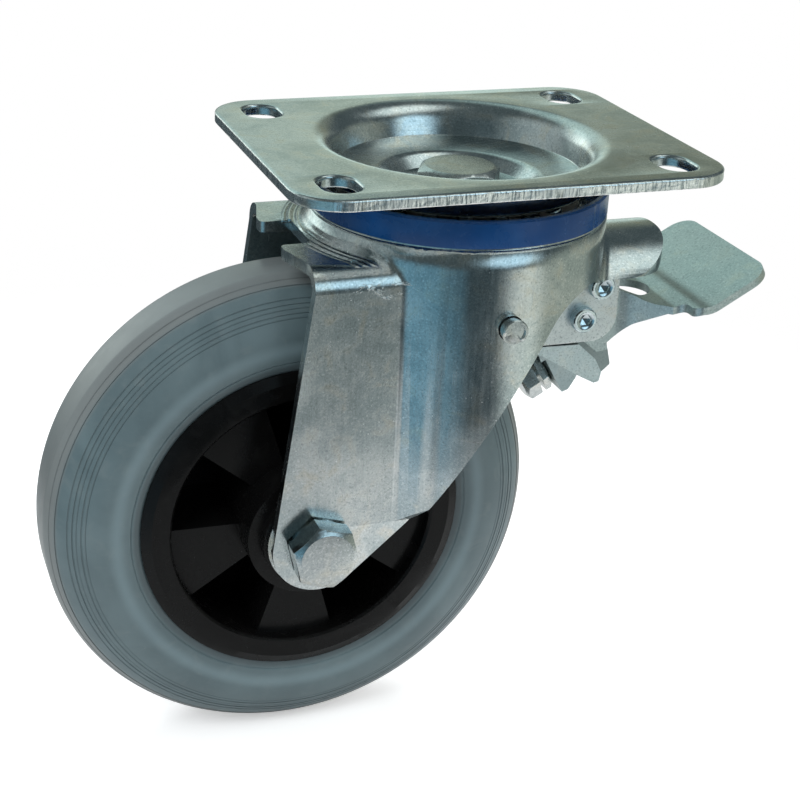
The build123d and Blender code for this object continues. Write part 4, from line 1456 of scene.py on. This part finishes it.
@dataclass
class Studio:
    """Camera, floor, lamps and surroundings."""

    eye: Place = (-0.1907, -0.4545, 0.1335)
    right: Place = (0.9395, -0.3397, 0.0442)
    up: Place = (0.1030, 0.4031, 0.9094)
    lens: float = 73.46
    sensor: float = 36.0
    near_clip: float = 0.01
    target: Place = (0.0, 0.0, -0.08)
    floor_radius: float = 0.9
    floor_rings: int = 8
    floor_count: int = 96
    floor_shift: float = 0.03
    fade: Point = (0.22, 0.42)
    glossy_fade: Point = (0.12, 0.36)
    low_room: Colour = (0.045, 0.066, 0.076)
    high_room: Colour = (0.09, 0.115, 0.12)
    even_fill: Colour = (0.62, 0.63, 0.64)
    white: Colour = (1.0, 1.0, 1.0)
    floor_colour: Colour = (0.80, 0.80, 0.80)
    floor_glow: float = 0.42
    floor_gap: float = 0.2 * MM
    panel_fade: float = 1.5
    lamps: tuple[Lamp, ...] = (
        Lamp("key", (-0.75, -0.55, 0.85), 0.55, 7.0, (0.93, 0.98, 1.0)),
        Lamp("back", (0.25, 0.85, 0.75), 0.6, 7.0, (0.95, 0.98, 1.0)),
        Lamp("side", (0.95, -0.25, 0.35), 0.5, 4.0, (1.0, 0.98, 0.93)),
    )
    panels: tuple[Panel, ...] = (
        Panel(-138, -20, 28, (0.12, 0.28, 0.38)),
        Panel(-57, -22, 12, (0.68, 0.72, 0.68)),
        Panel(-14, -18, 32, (0.38, 0.40, 0.33)),
        Panel(44, -16, 20, (0.50, 0.53, 0.45)),
        Panel(67, 2, 8, (0.55, 0.72, 0.70)),
        Panel(112, 8, 13, (0.85, 0.90, 0.84)),
        Panel(78, 14, 11, (0.34, 0.40, 0.34)),
        Panel(60, 13, 13, (0.16, 0.165, 0.10)),
        Panel(92, 38, 18, (0.44, 0.60, 0.57)),
        Panel(116, 20, 17, (0.62, 0.76, 0.74)),
        Panel(-25, 60, 19, (1.10, 1.20, 1.17)),
        Panel(-67, 18, 16, (0.85, 1.20, 1.42)),
        Panel(170, 20, 30, (0.30, 0.34, 0.34)),
    )

    def camera(self) -> None:
        """Camera at the photograph's place."""
        data = bpy.data.cameras.new("camera")
        data.lens = self.lens
        data.sensor_width = self.sensor
        data.clip_start = self.near_clip
        right = Vector(self.right)
        back = right.cross(Vector(self.up)).normalized()
        turn = Matrix((right.normalized(), back.cross(right).normalized(), back)).transposed()
        camera = linked("camera", data)
        camera.matrix_world = Matrix.Translation(self.eye) @ turn.to_4x4()
        bpy.context.scene.camera = camera

    def world(self) -> None:
        """White to the camera, a softly lit room to the steel, and even light elsewhere."""
        world = bpy.data.worlds.new("studio")
        bpy.context.scene.world = world
        world.use_nodes = True
        g = Graph(world.node_tree)
        toward = g.signal("TexCoord", output="Generated")
        room = g.mix(g.split(toward)[2].step(-0.5, 0.9), self.low_room, self.high_room)
        for panel in self.panels:
            facing = g.signal("VectorMath", {0: toward, 1: panel.toward()}, "Value",
                              operation="DOT_PRODUCT")
            outside = cos(radians(panel.spread * self.panel_fade))
            room = g.mix(facing.step(outside, 1.0), room, panel.colour, "ADD")
        rays = g.node("LightPath")
        fill = g.mix(Signal(g, rays.outputs["Is Glossy Ray"]), self.even_fill, room)
        seen = Signal(g, rays.outputs["Is Camera Ray"]).math("MAXIMUM", rays.outputs["Is Transmission Ray"])
        colour = g.mix(seen, fill, self.white)
        background = g.node("Background", {"Color": colour})
        g.node("OutputWorld", {"Surface": background.outputs[0]})

    def floor(self) -> None:
        """Pale floor that fades out into the white background."""
        height = CAD_BOX[0].z - self.floor_gap
        skin = Skin()
        radii = [self.floor_radius * k / self.floor_rings for k in range(1, self.floor_rings + 1)]
        rings = [skin.ring(circle(radius, height, self.floor_count)) for radius in radii]
        skin.loft(rings)
        skin.fan(rings[0])
        material, g = fresh_material("floor")
        x, y, _ = g.split(g.place())
        away = g.radius(x + self.floor_shift, y)
        rays = g.node("LightPath")
        matt = g.node("BsdfDiffuse", {"Color": self.floor_colour})
        unlit = g.node("Emission", {"Strength": 0.0})
        paper = g.node("Emission", {"Color": self.white, "Strength": self.floor_glow})
        glow = g.node("MixShader", {0: rays.outputs["Is Camera Ray"], 1: unlit.outputs[0],
                                          2: paper.outputs[0]})
        lit = g.node("AddShader", {0: matt.outputs[0], 1: glow.outputs[0]})
        clear = g.node("BsdfTransparent")
        glossy = Signal(g, rays.outputs["Is Glossy Ray"])
        seen_fade = away.step(*self.fade)
        fade = seen_fade + glossy * (away.step(*self.glossy_fade) - seen_fade)
        shader = g.node("MixShader", {0: fade, 1: lit.outputs[0], 2: clear.outputs[0]})
        g.node("OutputMaterial", {"Surface": shader.outputs[0]})
        floor = skin.build("floor", material)

    def build(self) -> None:
        """Set up the studio."""
        self.camera()
        self.world()
        self.floor()
        for lamp in self.lamps:
            lamp.hang(Vector(self.target))
        bpy.context.scene.view_settings.view_transform = "Standard"


def main() -> None:
    """Build the studio and dress every piece."""
    logging.basicConfig(level=logging.INFO, format="%(name)s: %(message)s")
    Studio().build()
    finishes = Finishes()
    for assembly in (MountingPlate, SwivelHead, Fork, Wheel, Axle, Brake):
        assembly(finishes).build()
        LOG.info("%s done", assembly.__name__)


if __name__ == "__main__":
    main()
